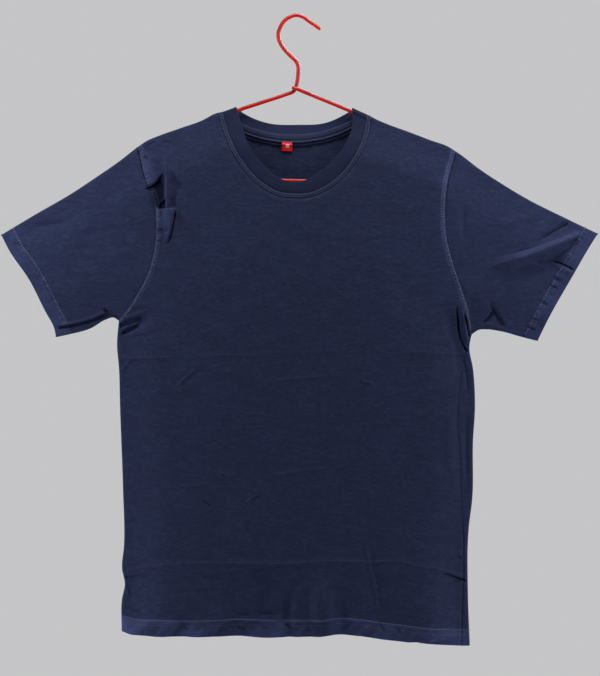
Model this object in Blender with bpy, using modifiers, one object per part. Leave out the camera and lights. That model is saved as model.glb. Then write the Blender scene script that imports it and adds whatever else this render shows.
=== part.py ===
"""Crew neck T-shirt hung flat on a wire hanger.

Metres, +Z up. The origin is the inside of the hook's crown, where the hanger
hangs. The shirt's front faces -Y and the hanger's wire lies in the plane Y = 0,
so the wearer's right sleeve is at -X and the left sleeve at +X.

Each cloth piece is an open sheet of the garment's outer surface, given its wall
by Solidify. A sheet's points are laid out in the front view, between its own
seams, and then moved out from Y = 0 by cloth_depth(): a round turn along every
folded edge, a soft fullness towards the middle, and the largest folds.
"""

import math

import bmesh
import bpy
import numpy as np

# ---- cloth
JERSEY_WALL = 0.0012
HEM_WALL = 0.0020
COLLAR_WALL = 0.0018
TAPE_WALL = 0.0010
SEAM_GAP = 0.0003
FOLD_LIP = 0.0008        # half the flat width of a folded edge
FOLD_RADIUS = 0.0035     # the cloth's round turn at a folded edge
HEM_HEIGHT = 0.0204
CUFF_HEIGHT = 0.0180
BAND_STEP = 0.0012       # height over which a turned-up band thins to one layer
BAND_RISE = 0.0004       # how far a turned-up band stands proud
COLLAR_CROWN = 0.0006    # how far the rib band is rounded out

# ---- fullness of each face: how far the cloth stands off its folded edges
FULLNESS = {
    "front": {"body": 0.0110, "sleeve": 0.0065},
    "back": {"body": 0.0070, "sleeve": 0.0045},
}
FULLNESS_RUN = 0.062     # distance from a folded edge to the full depth
BODY_TO_SLEEVE = (0.190, 0.270)
OUTWARD = {"front": -1.0, "back": 1.0}

# ---- hanger wire
WIRE_RADIUS = 0.0018
CORNER_RADIUS = 0.0255
CORNER_STEPS = 9
HOOK_STEPS = 38
ARM_STEPS = 13

# ---- outline in the front view. "right" and "left" are the wearer's.
# Folded top edge from the collar's end, along the shoulder and down the sleeve.
TOP_EDGE = {  # x, z
    "right": [
        (-0.0821, -0.1232), (-0.0907, -0.1268), (-0.0993, -0.1295), (-0.1102, -0.1323),
        (-0.1265, -0.1409), (-0.1564, -0.1517), (-0.1877, -0.1628), (-0.2020, -0.1688),
        (-0.2170, -0.1788), (-0.2380, -0.1953), (-0.2693, -0.2171), (-0.3019, -0.2388),
        (-0.3577, -0.2713), (-0.3998, -0.2965),
    ],
    "left": [
        (0.0775, -0.1246), (0.0884, -0.1298), (0.0959, -0.1330), (0.1102, -0.1405),
        (0.1238, -0.1463), (0.1537, -0.1572), (0.1822, -0.1681), (0.2070, -0.1772),
        (0.2210, -0.1860), (0.2475, -0.2062), (0.2802, -0.2279), (0.3169, -0.2497),
        (0.3604, -0.2715), (0.4094, -0.2950),
    ],
}
# Side seam from the armpit down to the hem.
SIDE_EDGE = {  # z, x
    "right": [
        (-0.4139, -0.2410), (-0.4455, -0.2434), (-0.4795, -0.2407), (-0.5285, -0.2394),
        (-0.6427, -0.2353), (-0.7200, -0.2340), (-0.7510, -0.2366), (-0.7720, -0.2328),
        (-0.7920, -0.2366), (-0.8349, -0.2372),
    ],
    "left": [
        (-0.4326, 0.2387), (-0.4480, 0.2358), (-0.4795, 0.2407), (-0.5285, 0.2434),
        (-0.5775, 0.2407), (-0.6590, 0.2394), (-0.6917, 0.2353), (-0.7896, 0.2339),
        (-0.8546, 0.2363),
    ],
}
# Armhole seam from the armpit up to the shoulder.
ARMHOLE = {  # z, x
    "right": [
        (-0.4139, -0.2410), (-0.3830, -0.2176), (-0.3463, -0.1986), (-0.3109, -0.1904),
        (-0.2800, -0.1890), (-0.2500, -0.1930), (-0.2200, -0.2045), (-0.1774, -0.2150),
    ],
    "left": [
        (-0.4326, 0.2387), (-0.4020, 0.2326), (-0.3762, 0.2237), (-0.3340, 0.2088),
        (-0.2987, 0.2006), (-0.2650, 0.1994), (-0.2300, 0.2030), (-0.1835, 0.2172),
    ],
}
# Underarm fold of the sleeve, from the armpit out to the cuff.
UNDERARM = {  # x, z
    "right": [
        (-0.2410, -0.4139), (-0.2470, -0.4098), (-0.2584, -0.4122), (-0.2788, -0.4240),
        (-0.3060, -0.4319), (-0.3250, -0.4360),
    ],
    "left": [
        (0.2387, -0.4326), (0.2486, -0.4264), (0.2580, -0.4257), (0.2790, -0.4284),
        (0.3070, -0.4360), (0.3272, -0.4412),
    ],
}
# Cuff's edge, from the underarm up to the top fold.
CUFF_EDGE = {  # z, x
    "right": [
        (-0.4360, -0.3250), (-0.4238, -0.3276), (-0.4020, -0.3386), (-0.3585, -0.3604),
        (-0.3150, -0.3903), (-0.2965, -0.3998),
    ],
    "left": [
        (-0.4412, 0.3272), (-0.4020, 0.3460), (-0.3585, 0.3708), (-0.3150, 0.3965),
        (-0.2950, 0.4094),
    ],
}
HEM_EDGE = [  # x, z
    (-0.2372, -0.8349), (-0.2237, -0.8382), (-0.1841, -0.8382), (-0.1346, -0.8398),
    (-0.0820, -0.8382), (-0.0358, -0.8398), (0.0136, -0.8391), (0.0664, -0.8365),
    (0.0895, -0.8388), (0.1224, -0.8435), (0.1620, -0.8474), (0.2363, -0.8546),
]
# Neck seam and free edge of the collar band, from the wearer's right shoulder
# to the left one.
NECKLINE = {  # seam x, seam z, edge x, edge z
    "front": [
        (-0.0993, -0.1295, -0.0821, -0.1232),
        (-0.0938, -0.1516, -0.0767, -0.1423),
        (-0.0744, -0.1938, -0.0605, -0.1841),
        (-0.0494, -0.2234, -0.0394, -0.2096),
        (-0.0181, -0.2406, -0.0156, -0.2229),
        (0.0131, -0.2414, 0.0102, -0.2228),
        (0.0458, -0.2274, 0.0358, -0.2109),
        (0.0740, -0.1984, 0.0585, -0.1894),
        (0.0928, -0.1579, 0.0755, -0.1559),
        (0.0959, -0.1330, 0.0775, -0.1246),
    ],
    "back": [
        (-0.0993, -0.1295, -0.0821, -0.1232),
        (-0.0900, -0.1423, -0.0768, -0.1280),
        (-0.0767, -0.1516, -0.0660, -0.1346),
        (-0.0431, -0.1633, -0.0394, -0.1439),
        (0.0022, -0.1673, 0.0014, -0.1473),
        (0.0490, -0.1594, 0.0442, -0.1428),
        (0.0724, -0.1500, 0.0639, -0.1344),
        (0.0857, -0.1416, 0.0728, -0.1290),
        (0.0959, -0.1330, 0.0775, -0.1246),
    ],
}
# Largest folds: a ridge or trough along a line, highest midway along it.
FOLD_TAPER = 0.35        # share of a fold's length over which each end dies out
FOLDS = {  # from x, from z, to x, to z, half width, height out of the cloth
    "front": [
        (-0.186, -0.196, -0.183, -0.282, 0.017, -0.0065),   # hollow at the right shoulder
        (-0.172, -0.185, -0.168, -0.330, 0.015, 0.0035),    # pinched ridge beside it
        (-0.242, -0.425, -0.190, -0.404, 0.014, -0.0050),   # pit under the right arm
        (0.220, -0.375, 0.238, -0.470, 0.012, 0.0040),      # pleat under the left arm
        (0.203, -0.385, 0.226, -0.500, 0.014, -0.0030),     # hollow beside that pleat
        (0.250, -0.344, 0.392, -0.292, 0.014, 0.0055),      # ridge across the left sleeve
        (0.290, -0.358, 0.375, -0.322, 0.020, -0.0050),     # hollow under that ridge
        (-0.233, -0.756, 0.020, -0.741, 0.016, 0.0018),     # packing crease, right half
        (0.000, -0.741, 0.233, -0.762, 0.016, 0.0018),      # packing crease, left half
        (-0.040, -0.750, -0.020, -0.835, 0.030, -0.0035),   # flutes above the hem
        (0.035, -0.748, 0.040, -0.835, 0.034, 0.0040),
        (0.091, -0.658, 0.113, -0.830, 0.022, -0.0025),
        (-0.140, -0.755, -0.150, -0.838, 0.034, 0.0025),
    ],
    "back": [
        (-0.120, -0.215, -0.150, -0.420, 0.034, 0.0030),    # drape from the shoulders
        (0.135, -0.215, 0.160, -0.400, 0.030, 0.0028),
        (-0.236, -0.400, -0.190, -0.470, 0.016, -0.0035),   # pits under the arms
        (0.236, -0.420, 0.180, -0.480, 0.016, -0.0030),
        (-0.380, -0.310, -0.270, -0.350, 0.018, 0.0030),    # ridges across the sleeves
        (0.260, -0.350, 0.380, -0.330, 0.018, 0.0030),
        (-0.090, -0.700, -0.110, -0.838, 0.036, 0.0030),    # flutes above the hem
        (0.060, -0.690, 0.040, -0.838, 0.040, -0.0030),
        (0.160, -0.720, 0.170, -0.845, 0.032, 0.0028),
    ],
}

# ---- hanger routes
HOOK_ROUTE = [  # x, y, z from the cut tip over the crown and down the stem
    (0.0328, 0.0, -0.0167), (0.0254, 0.0, -0.0116), (0.0173, 0.0, -0.0060),
    (0.0088, 0.0, -0.0002), (0.0005, 0.0, 0.0019), (-0.0094, 0.0, -0.0012),
    (-0.0160, 0.0, -0.0060), (-0.0214, 0.0, -0.0141), (-0.0236, 0.0, -0.0235),
    (-0.0228, 0.0, -0.0313), (-0.0197, 0.0, -0.0392), (-0.0146, 0.0, -0.0466),
    (-0.0068, 0.0, -0.0545), (0.0011, 0.0, -0.0617), (0.0036, 0.0, -0.0672),
    (0.0038, 0.0, -0.0740), (0.0031, 0.0, -0.0805), (0.0018, 0.0, -0.0884),
    (0.0008, 0.0, -0.0950), (-0.0005, 0.0, -0.1000), (-0.0038, 0.0, -0.1038),
    (-0.0094, 0.0, -0.1066),
]
ARM_ROUTE = {  # x, y, z from the stem out to the corner's first point
    "right": [
        (-0.0101, 0.0, -0.1068), (-0.0250, 0.0, -0.1104), (-0.0422, 0.0, -0.1156),
        (-0.0581, 0.0, -0.1210), (-0.0711, 0.0, -0.1253), (-0.0806, 0.0, -0.1289),
        (-0.0971, 0.0, -0.1349), (-0.1265, 0.0, -0.1451), (-0.1564, 0.0, -0.1556),
        (-0.1877, 0.0, -0.1668), (-0.1960, 0.0, -0.1705),
    ],
    "left": [
        (-0.0048, -0.0034, -0.0978), (0.0002, -0.0043, -0.0984), (0.0056, -0.0035, -0.1000),
        (0.0114, -0.0014, -0.1024), (0.0190, 0.0, -0.1048), (0.0271, 0.0, -0.1072),
        (0.0427, 0.0, -0.1132), (0.0600, 0.0, -0.1212), (0.0762, 0.0, -0.1293),
        (0.1020, 0.0, -0.1408), (0.1238, 0.0, -0.1503), (0.1387, 0.0, -0.1560),
        (0.1537, 0.0, -0.1612), (0.1822, 0.0, -0.1721), (0.1960, 0.0, -0.1774),
    ],
}

# ---- label
LABEL_X = (-0.0192, -0.0052)
LABEL_HEIGHT = 0.0105
TAPE_REACH = 0.0070      # from the neck seam down
TAPE_ENDS = (0.10, 0.90)   # along the back neck seam

# ---- mesh density
TURN_OFFSETS = (0.0006, 0.0021, 0.0042)   # rows that follow a folded edge's turn
NECK_OFFSETS = (0.0045, 0.0100, 0.0170)   # the same rows where the edge is the neck seam
CORNER_BLEND = 0.018     # length of neck seam over which rows turn from the shoulder's
NECK_OPENING = 0.070     # length of neck seam over which rows open to NECK_OFFSETS
EDGE_PULL = 0.30         # share of the width over which a panel's side edge bends its columns
LEVEL_FROM = 0.14        # share of the width beyond which rows no longer follow the side
COLUMNS_TURN = 0.40      # share of the height below which columns stand as at the hem
COLUMN_FAN = 0.80        # below 1, columns spread out sooner below the neck
HELD_ROWS = 3            # rows of the hem band, which stay put when the grid is evened out
EVENING_PASSES = 12
SHOULDER_COLUMNS = 5
NECK_COLUMNS = 14
LOWER_ROWS = {"front": 16, "back": 13}
ARMHOLE_ROWS = 10
SLEEVE_RINGS = 8
SLEEVE_FIRST_RING = 0.005
COLLAR_ROWS = 3
SHARP_ANGLE = math.radians(50.0)

NAVY = (0.020, 0.026, 0.068)
NAVY_RIB = (0.018, 0.023, 0.062)
NAVY_TAPE = (0.045, 0.055, 0.110)
LABEL_RED = (0.450, 0.018, 0.026)
WIRE_RED = (0.620, 0.030, 0.022)


# ------------------------------------------------------------------ curves
def smooth_step(value):
    """0 to 1 with level ends."""
    value = np.clip(value, 0.0, 1.0)
    return value * value * (3.0 - 2.0 * value)


def through(knots, values, where):
    """Smooth curve through a table's rows, by cubic pieces with shared slopes."""
    knots = np.asarray(knots, float)
    values = np.asarray(values, float)
    if knots[0] > knots[-1]:
        knots, values = knots[::-1], values[::-1]
    flat = values.ndim == 1
    if flat:
        values = values[:, None]
    where = np.atleast_1d(np.asarray(where, float))
    steps = np.diff(knots)
    rises = np.diff(values, axis=0) / steps[:, None]
    slopes = np.empty_like(values)
    slopes[0], slopes[-1] = rises[0], rises[-1]
    before, after = steps[:-1, None], steps[1:, None]
    slopes[1:-1] = (rises[:-1] * after + rises[1:] * before) / (before + after)
    piece = np.clip(np.searchsorted(knots, where, side="right") - 1, 0, len(steps) - 1)
    step = steps[piece][:, None]
    t = (where[:, None] - knots[piece][:, None]) / step
    low, high = values[piece], values[piece + 1]
    low_slope, high_slope = slopes[piece] * step, slopes[piece + 1] * step
    curve = (low * (1 + 2 * t) * (1 - t) ** 2 + low_slope * t * (1 - t) ** 2
             + high * t * t * (3 - 2 * t) - high_slope * t * t * (1 - t))
    return curve[:, 0] if flat else curve


def along(points, fractions):
    """Points at fractions of the length of a smooth curve through points."""
    points = np.asarray(points, float)
    spans = np.linalg.norm(np.diff(points, axis=0), axis=1)
    knots = np.concatenate([[0.0], np.cumsum(spans)])
    fine = through(knots, points, np.linspace(0.0, knots[-1], 40 * len(points)))
    lengths = np.concatenate([[0.0], np.cumsum(np.linalg.norm(np.diff(fine, axis=0), axis=1))])
    wanted = np.asarray(fractions, float) * lengths[-1]
    return np.stack([np.interp(wanted, lengths, fine[:, axis])
                     for axis in range(points.shape[1])], axis=1)


def curve_length(points):
    fine = along(points, np.linspace(0.0, 1.0, 200))
    return float(np.linalg.norm(np.diff(fine, axis=0), axis=1).sum())


def column(table, index):
    return [row[index] for row in table]


def top_z(side, x):
    rows = TOP_EDGE[side]
    return through(column(rows, 0), column(rows, 1), x)


def hem_z(x):
    return through(column(HEM_EDGE, 0), column(HEM_EDGE, 1), x)


def underarm_z(side, x):
    rows = UNDERARM[side]
    return through(column(rows, 0), column(rows, 1), x)


def cuff_x(side, z):
    rows = CUFF_EDGE[side]
    return through(column(rows, 0), column(rows, 1), z)


def armhole_x(side, z):
    rows = ARMHOLE[side]
    return through(column(rows, 0), column(rows, 1), z)


def body_edge_x(side, z):
    """Side seam below the armpit and armhole seam above it."""
    z = np.atleast_1d(np.asarray(z, float))
    rows = SIDE_EDGE[side]
    armpit = rows[0][0]
    below = through(column(rows, 0), column(rows, 1), np.minimum(z, armpit))
    above = armhole_x(side, np.maximum(z, armpit))
    return np.where(z <= armpit, below, above)


# ------------------------------------------------------------- cloth surface
def folded_edges():
    """The edges where the front's cloth turns round into the back's."""
    edges = []
    for side in ("right", "left"):
        rows = SIDE_EDGE[side]
        z = np.linspace(rows[-1][0], rows[0][0], 90)
        edges.append(np.stack([body_edge_x(side, z), z], axis=1))
        x = np.linspace(UNDERARM[side][0][0], UNDERARM[side][-1][0], 40)
        edges.append(np.stack([x, underarm_z(side, x)], axis=1))
        x = np.linspace(TOP_EDGE[side][0][0], TOP_EDGE[side][-1][0], 120)
        edges.append(np.stack([x, top_z(side, x)], axis=1))
    return edges


def distance_to(lines, points):
    """Shortest distance from each point to any of the lines."""
    nearest = np.full(len(points), np.inf)
    for line in lines:
        start, run = line[:-1], np.diff(line, axis=0)
        squares = np.maximum((run ** 2).sum(axis=1), 1e-18)
        offset = points[:, None, :] - start[None]
        t = np.clip((offset * run[None]).sum(axis=2) / squares, 0.0, 1.0)
        gaps = offset - t[:, :, None] * run[None]
        nearest = np.minimum(nearest, np.sqrt((gaps ** 2).sum(axis=2)).min(axis=1))
    return nearest


def fold_height(face, points):
    """Sum of the face's ridges and troughs at each point."""
    total = np.zeros(len(points))
    for x0, z0, x1, z1, half_width, height in FOLDS[face]:
        run = np.array([x1 - x0, z1 - z0])
        length = np.hypot(*run)
        offset = points - np.array([x0, z0])
        t = (offset @ run) / length ** 2
        across = (offset[:, 0] * run[1] - offset[:, 1] * run[0]) / length / half_width
        lengthwise = smooth_step(t / FOLD_TAPER) * smooth_step((1.0 - t) / FOLD_TAPER)
        profile = np.where(np.abs(across) < 1.0, (1.0 - across ** 2) ** 2, 0.0)
        total += height * lengthwise * profile
    return total


def cloth_depth(face, points, on_fold):
    """Distance of the outer surface from Y = 0; on_fold marks folded-edge points."""
    edge = np.where(on_fold, 0.0, distance_to(FOLDED_EDGES, points))
    turn = np.minimum(edge, FOLD_RADIUS)
    depth = FOLD_LIP + np.sqrt(turn * (2.0 * FOLD_RADIUS - turn))
    start, end = BODY_TO_SLEEVE
    share = smooth_step((np.abs(points[:, 0]) - start) / (end - start))
    size = FULLNESS[face]
    full = size["body"] + (size["sleeve"] - size["body"]) * share
    rise = smooth_step(edge / FULLNESS_RUN)
    inland = smooth_step(edge / (4.0 * FOLD_RADIUS))
    return depth + full * rise + fold_height(face, points) * inland


FOLDED_EDGES = folded_edges()


def placed(face, points, depth):
    return np.stack([points[:, 0], OUTWARD[face] * depth, points[:, 1]], axis=1)


# ------------------------------------------------------------------ meshes
def make_material(name, colour, roughness, metallic=0.0):
    material = bpy.data.materials.new(name)
    material.use_nodes = True
    shader = material.node_tree.nodes["Principled BSDF"]
    shader.inputs["Base Color"].default_value = (*colour, 1.0)
    shader.inputs["Roughness"].default_value = roughness
    shader.inputs["Metallic"].default_value = metallic
    material.diffuse_color = (*colour, 1.0)
    return material


def finish_object(name, mesh, material, collection):
    mesh.materials.append(material)
    mesh.shade_smooth()
    mesh.set_sharp_from_angle(angle=SHARP_ANGLE)
    piece = bpy.data.objects.new(name, mesh)
    collection.objects.link(piece)
    return piece


def add_wall(piece, wall, thick_wall=None, thick_points=()):
    """Solidify inwards; thick_points take the thicker wall."""
    solidify = piece.modifiers.new("wall", "SOLIDIFY")
    solidify.offset = -1.0
    solidify.use_rim = True
    solidify.thickness = wall
    if thick_wall:
        group = piece.vertex_groups.new(name="doubled")
        group.add([int(index) for index in thick_points], 1.0, "REPLACE")
        solidify.thickness = thick_wall
        solidify.vertex_group = group.name
        solidify.thickness_vertex_group = wall / thick_wall


def sheet_mesh(name, points, faces):
    mesh = bpy.data.meshes.new(name)
    shape = bmesh.new()
    verts = [shape.verts.new(point) for point in points]
    for face in faces:
        shape.faces.new([verts[index] for index in face])
    shape.to_mesh(mesh)
    shape.free()
    return mesh


def grid_faces(rows, columns, outward_back):
    """Quads of a rows x columns grid of points, facing -Y, or +Y for the back."""
    faces = []
    for i in range(rows - 1):
        for j in range(columns - 1):
            first = i * columns + j
            quad = [first, first + 1, first + columns + 1, first + columns]
            faces.append(quad[::-1] if outward_back else quad)
    return faces


# ------------------------------------------------------------------ panels
def armhole_stations(side):
    """Heights of a panel's rows along one armhole, armpit to shoulder."""
    low, high = ARMHOLE[side][0][0], ARMHOLE[side][-1][0]
    offsets = np.array(TURN_OFFSETS)
    middle = np.linspace(low + offsets[-1], high - offsets[-1], ARMHOLE_ROWS + 1)[1:-1]
    return np.concatenate([[low], low + offsets, middle, (high - offsets)[::-1], [high]])


def neck_fractions(face):
    """Fractions of the neck seam's length where columns and collar sections stand."""
    seam = np.array(NECKLINE[face])[:, :2]
    offsets = np.array(TURN_OFFSETS) / curve_length(seam)
    middle = np.linspace(offsets[-1], 1.0 - offsets[-1], NECK_COLUMNS + 1)[1:-1]
    return np.concatenate([[0.0], offsets, middle, (1.0 - offsets)[::-1], [1.0]])


def top_columns(face):
    """Fractions of the columns along a panel's top, and its two neck corners."""
    tip = {side: ARMHOLE[side][-1][1] for side in ("right", "left")}
    width = tip["left"] - tip["right"]
    seam = np.array(NECKLINE[face])[:, :2]
    neck_start, neck_end = (seam[[0, -1], 0] - tip["right"]) / width
    turn = np.array(TURN_OFFSETS) / width
    right = np.linspace(turn[-1], neck_start, SHOULDER_COLUMNS + 1)[1:]
    neck = neck_start + (neck_end - neck_start) * neck_fractions(face)[1:-1]
    left = np.linspace(neck_end, 1.0 - turn[-1], SHOULDER_COLUMNS + 1)[:-1]
    columns = np.concatenate([[0.0], turn, right, neck, left, (1.0 - turn)[::-1], [1.0]])
    first_neck = len(turn) + SHOULDER_COLUMNS
    return columns, first_neck, len(columns) - 1 - first_neck


def top_edge_points(face, columns, first_neck, last_neck):
    """Points along shoulder, neck seam and shoulder, with their inward directions."""
    tip = {side: ARMHOLE[side][-1][1] for side in ("right", "left")}
    seam = np.array(NECKLINE[face])[:, :2]
    x = tip["right"] + columns * (tip["left"] - tip["right"])
    points = np.zeros((len(columns), 2))
    tangents = np.zeros((len(columns), 2))
    probe = 0.0005
    for side, part in (("right", slice(0, first_neck + 1)), ("left", slice(last_neck, None))):
        points[part] = np.stack([x[part], top_z(side, x[part])], axis=1)
        rise = top_z(side, x[part] + probe) - top_z(side, x[part] - probe)
        tangents[part] = np.stack([np.full(len(rise), 2 * probe), rise], axis=1)
    fractions = neck_fractions(face)
    ahead = along(seam, np.minimum(fractions + probe, 1.0))
    behind = along(seam, np.maximum(fractions - probe, 0.0))
    shoulder = {end: tangents[end].copy() for end in (first_neck, last_neck)}
    points[first_neck:last_neck + 1] = along(seam, fractions)
    tangents[first_neck:last_neck + 1] = ahead - behind
    tangents /= np.linalg.norm(tangents, axis=1)[:, None]
    inward = np.stack([tangents[:, 1], -tangents[:, 0]], axis=1)
    downward = np.array([0.0, -1.0])
    inward[first_neck:last_neck + 1] += downward

    # the directions turn from one seam's to the other's around each neck corner
    arc = fractions * curve_length(seam)
    reach = np.ones(len(columns))
    for end, distance in ((first_neck, arc), (last_neck, arc[-1] - arc)):
        run = shoulder[end] / np.linalg.norm(shoulder[end])
        shoulder_inward = np.array([run[1], -run[0]])
        middle = shoulder_inward + inward[end]
        middle /= np.linalg.norm(middle)
        part = slice(first_neck, last_neck + 1)
        near = 1.0 - smooth_step(distance / CORNER_BLEND)[:, None]
        inward[part] = inward[part] * (1.0 - near) + middle * near
        reach[part] += (1.0 / (middle @ shoulder_inward) - 1.0) * near[:, 0]
    inward /= np.linalg.norm(inward, axis=1)[:, None]
    opened = np.zeros(len(columns))
    opened[first_neck:last_neck + 1] = smooth_step(np.minimum(arc, arc[-1] - arc) / NECK_OPENING)
    return points, inward, reach, opened


def top_layers(face, columns, first_neck, last_neck):
    """The panel's top rows, the edge's own first and then the rows below it."""
    points, inward, reach, opened = top_edge_points(face, columns, first_neck, last_neck)
    layers = [points]
    turn_columns = len(TURN_OFFSETS)
    for turn, neck in zip(TURN_OFFSETS, NECK_OFFSETS):
        offsets = turn * reach + (neck - turn * reach) * opened
        layer = points + inward * offsets[:, None]
        for side, corner in (("right", 0), ("left", -1)):
            z = np.array([points[corner, 1] - turn])
            seam_end = np.array([armhole_x(side, z)[0], z[0]])
            shift = seam_end - layer[corner]
            for step in range(turn_columns + 1):
                index = corner + step if corner == 0 else corner - step
                layer[index] += shift * (1.0 - step / (turn_columns + 1.0))
        layers.append(layer)
    return layers


def even_out(grid, first_neck, last_neck):
    """Settle the inner points so that rows and columns spread without crossing.

    Each pass moves a point to the balance of its eight neighbours, weighted by
    how far apart the rows and the columns stand there. The hem band, the turned
    edges and the rows next to the seams stay put.
    """
    turn_rows = len(TURN_OFFSETS)
    free = np.zeros(grid.shape[:2], bool)
    free[HELD_ROWS:-turn_rows - 1, turn_rows + 1:-turn_rows - 1] = True
    free[-turn_rows - 1:1 - turn_rows, first_neck + 2:last_neck - 1] = True
    free = free[1:-1, 1:-1, None]
    inner, low, high = slice(1, -1), slice(None, -2), slice(2, None)
    for _ in range(EVENING_PASSES):
        across = (grid[inner, high] - grid[inner, low]) / 2.0
        upward = (grid[high, inner] - grid[low, inner]) / 2.0
        row_weight = (upward ** 2).sum(axis=2, keepdims=True)
        column_weight = (across ** 2).sum(axis=2, keepdims=True)
        skew = (across * upward).sum(axis=2, keepdims=True)
        twist = (grid[high, high] - grid[high, low] - grid[low, high] + grid[low, low]) / 4.0
        balance = (row_weight * (grid[inner, high] + grid[inner, low])
                   + column_weight * (grid[high, inner] + grid[low, inner])
                   - 2.0 * skew * twist) / (2.0 * (row_weight + column_weight))
        settled = (grid[inner, inner] + balance) / 2.0
        grid[inner, inner] = np.where(free, settled, grid[inner, inner])
    return grid


def panel_grid(face):
    """Front-view points of a body panel, rows from hem to top, and its marks."""
    u_top, first_neck, last_neck = top_columns(face)
    layers = top_layers(face, u_top, first_neck, last_neck)
    under_top = layers[-1]

    hem_start, hem_width = HEM_EDGE[0][0], HEM_EDGE[-1][0] - HEM_EDGE[0][0]
    turn = np.array(TURN_OFFSETS) / hem_width
    inner = np.linspace(turn[-1], 1.0 - turn[-1], len(u_top) - 6)
    u_low = np.concatenate([[0.0], turn[:2], inner, (1.0 - turn[:2])[::-1], [1.0]])

    # rows, as fractions of each side edge's height up to the layers
    rows, bottom, height = {}, {}, {}
    for side, hem_row, corner in (("right", HEM_EDGE[0], 0), ("left", HEM_EDGE[-1], -1)):
        bottom[side] = hem_row[1]
        height[side] = under_top[corner, 1] - hem_row[1]
        band = [0.0, HEM_HEIGHT, HEM_HEIGHT + BAND_STEP]
        armpit = ARMHOLE[side][0][0] - bottom[side]
        lower = np.linspace(band[-1], armpit, LOWER_ROWS[face] + 1)[1:-1]
        upper = armhole_stations(side)[:-len(TURN_OFFSETS)] - bottom[side]
        rows[side] = np.concatenate([band, lower, upper]) / height[side]
    armpit_row = 2 + LOWER_ROWS[face]
    even = (rows["right"] + rows["left"]) / 2.0
    even[2:] = np.linspace(even[2], 1.0, len(even) - 2)

    def side_point(side, v):
        z = bottom[side] + v * height[side]
        return np.stack([body_edge_x(side, z), z], axis=1)

    def hem_point(u):
        x = hem_start + u * hem_width
        return np.stack([x, hem_z(x)], axis=1)

    def under_top_point(u):
        return np.stack([np.interp(u, u_top, under_top[:, axis]) for axis in (0, 1)], axis=1)

    ends = np.array([0.0, 1.0])
    hem_ends, top_ends = hem_point(ends), under_top_point(ends)
    grid = []
    for i, level in enumerate(even):
        turned = smooth_step((level - COLUMNS_TURN) / (1.0 - COLUMNS_TURN))
        u = u_low + (u_top - u_low) * turned
        inland = smooth_step(np.minimum(u, 1.0 - u) / LEVEL_FROM)
        sides = (1 - u) * rows["right"][i] + u * rows["left"][i]
        v = sides * (1 - inland) + level * inland
        b = np.stack([1.0 - (1.0 - v) ** COLUMN_FAN, v], axis=1)
        points = (1 - b) * hem_point(u) + b * under_top_point(u)
        for side, end, away in (("right", 0, u), ("left", 1, 1.0 - u)):
            straight = (1 - b) * hem_ends[end] + b * top_ends[end]
            pull = 1.0 - smooth_step(away / EDGE_PULL)[:, None]
            points = points + pull * (side_point(side, v) - straight)
        grid.append(points)
    grid[-1] = under_top
    grid = even_out(np.array(grid + layers[-2::-1]), first_neck, last_neck)
    return grid, armpit_row, first_neck, last_neck


def make_panel(face, material, collection):
    grid, armpit_row, first_neck, last_neck = panel_grid(face)
    rows, columns = grid.shape[:2]
    folded = np.zeros((rows, columns), bool)
    folded[:armpit_row + 1, 0] = True
    folded[:armpit_row + 1, -1] = True
    folded[-1, :first_neck + 1] = True
    folded[-1, last_neck:] = True

    flat = grid.reshape(-1, 2)
    depth = cloth_depth(face, flat, folded.reshape(-1))
    band = np.zeros((rows, columns), bool)
    band[:2] = True
    depth = depth + np.where(band.reshape(-1), BAND_RISE, 0.0)
    points = [tuple(point) for point in placed(face, flat, depth)]
    back = face == "back"
    faces = grid_faces(rows, columns, back)

    # a narrow lip closes each folded edge to half the seam's gap
    thick = list(np.flatnonzero(band.reshape(-1)))
    edges = [
        [i * columns for i in range(armpit_row, -1, -1)],
        [i * columns + columns - 1 for i in range(armpit_row + 1)],
        [(rows - 1) * columns + j for j in range(first_neck, -1, -1)],
        [(rows - 1) * columns + j for j in range(columns - 1, last_neck - 1, -1)],
    ]
    for edge in edges:
        lip = []
        for index in edge:
            x, _, z = points[index]
            lip.append(len(points))
            points.append((x, OUTWARD[face] * SEAM_GAP / 2.0, z))
            if index in thick:
                thick.append(lip[-1])
        for k in range(len(edge) - 1):
            quad = [edge[k], edge[k + 1], lip[k + 1], lip[k]]
            faces.append(quad if back else quad[::-1])
    mesh = sheet_mesh(face + "_panel", points, faces)
    piece = finish_object(face + "_panel", mesh, material, collection)
    add_wall(piece, JERSEY_WALL, HEM_WALL, thick)
    return piece


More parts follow.
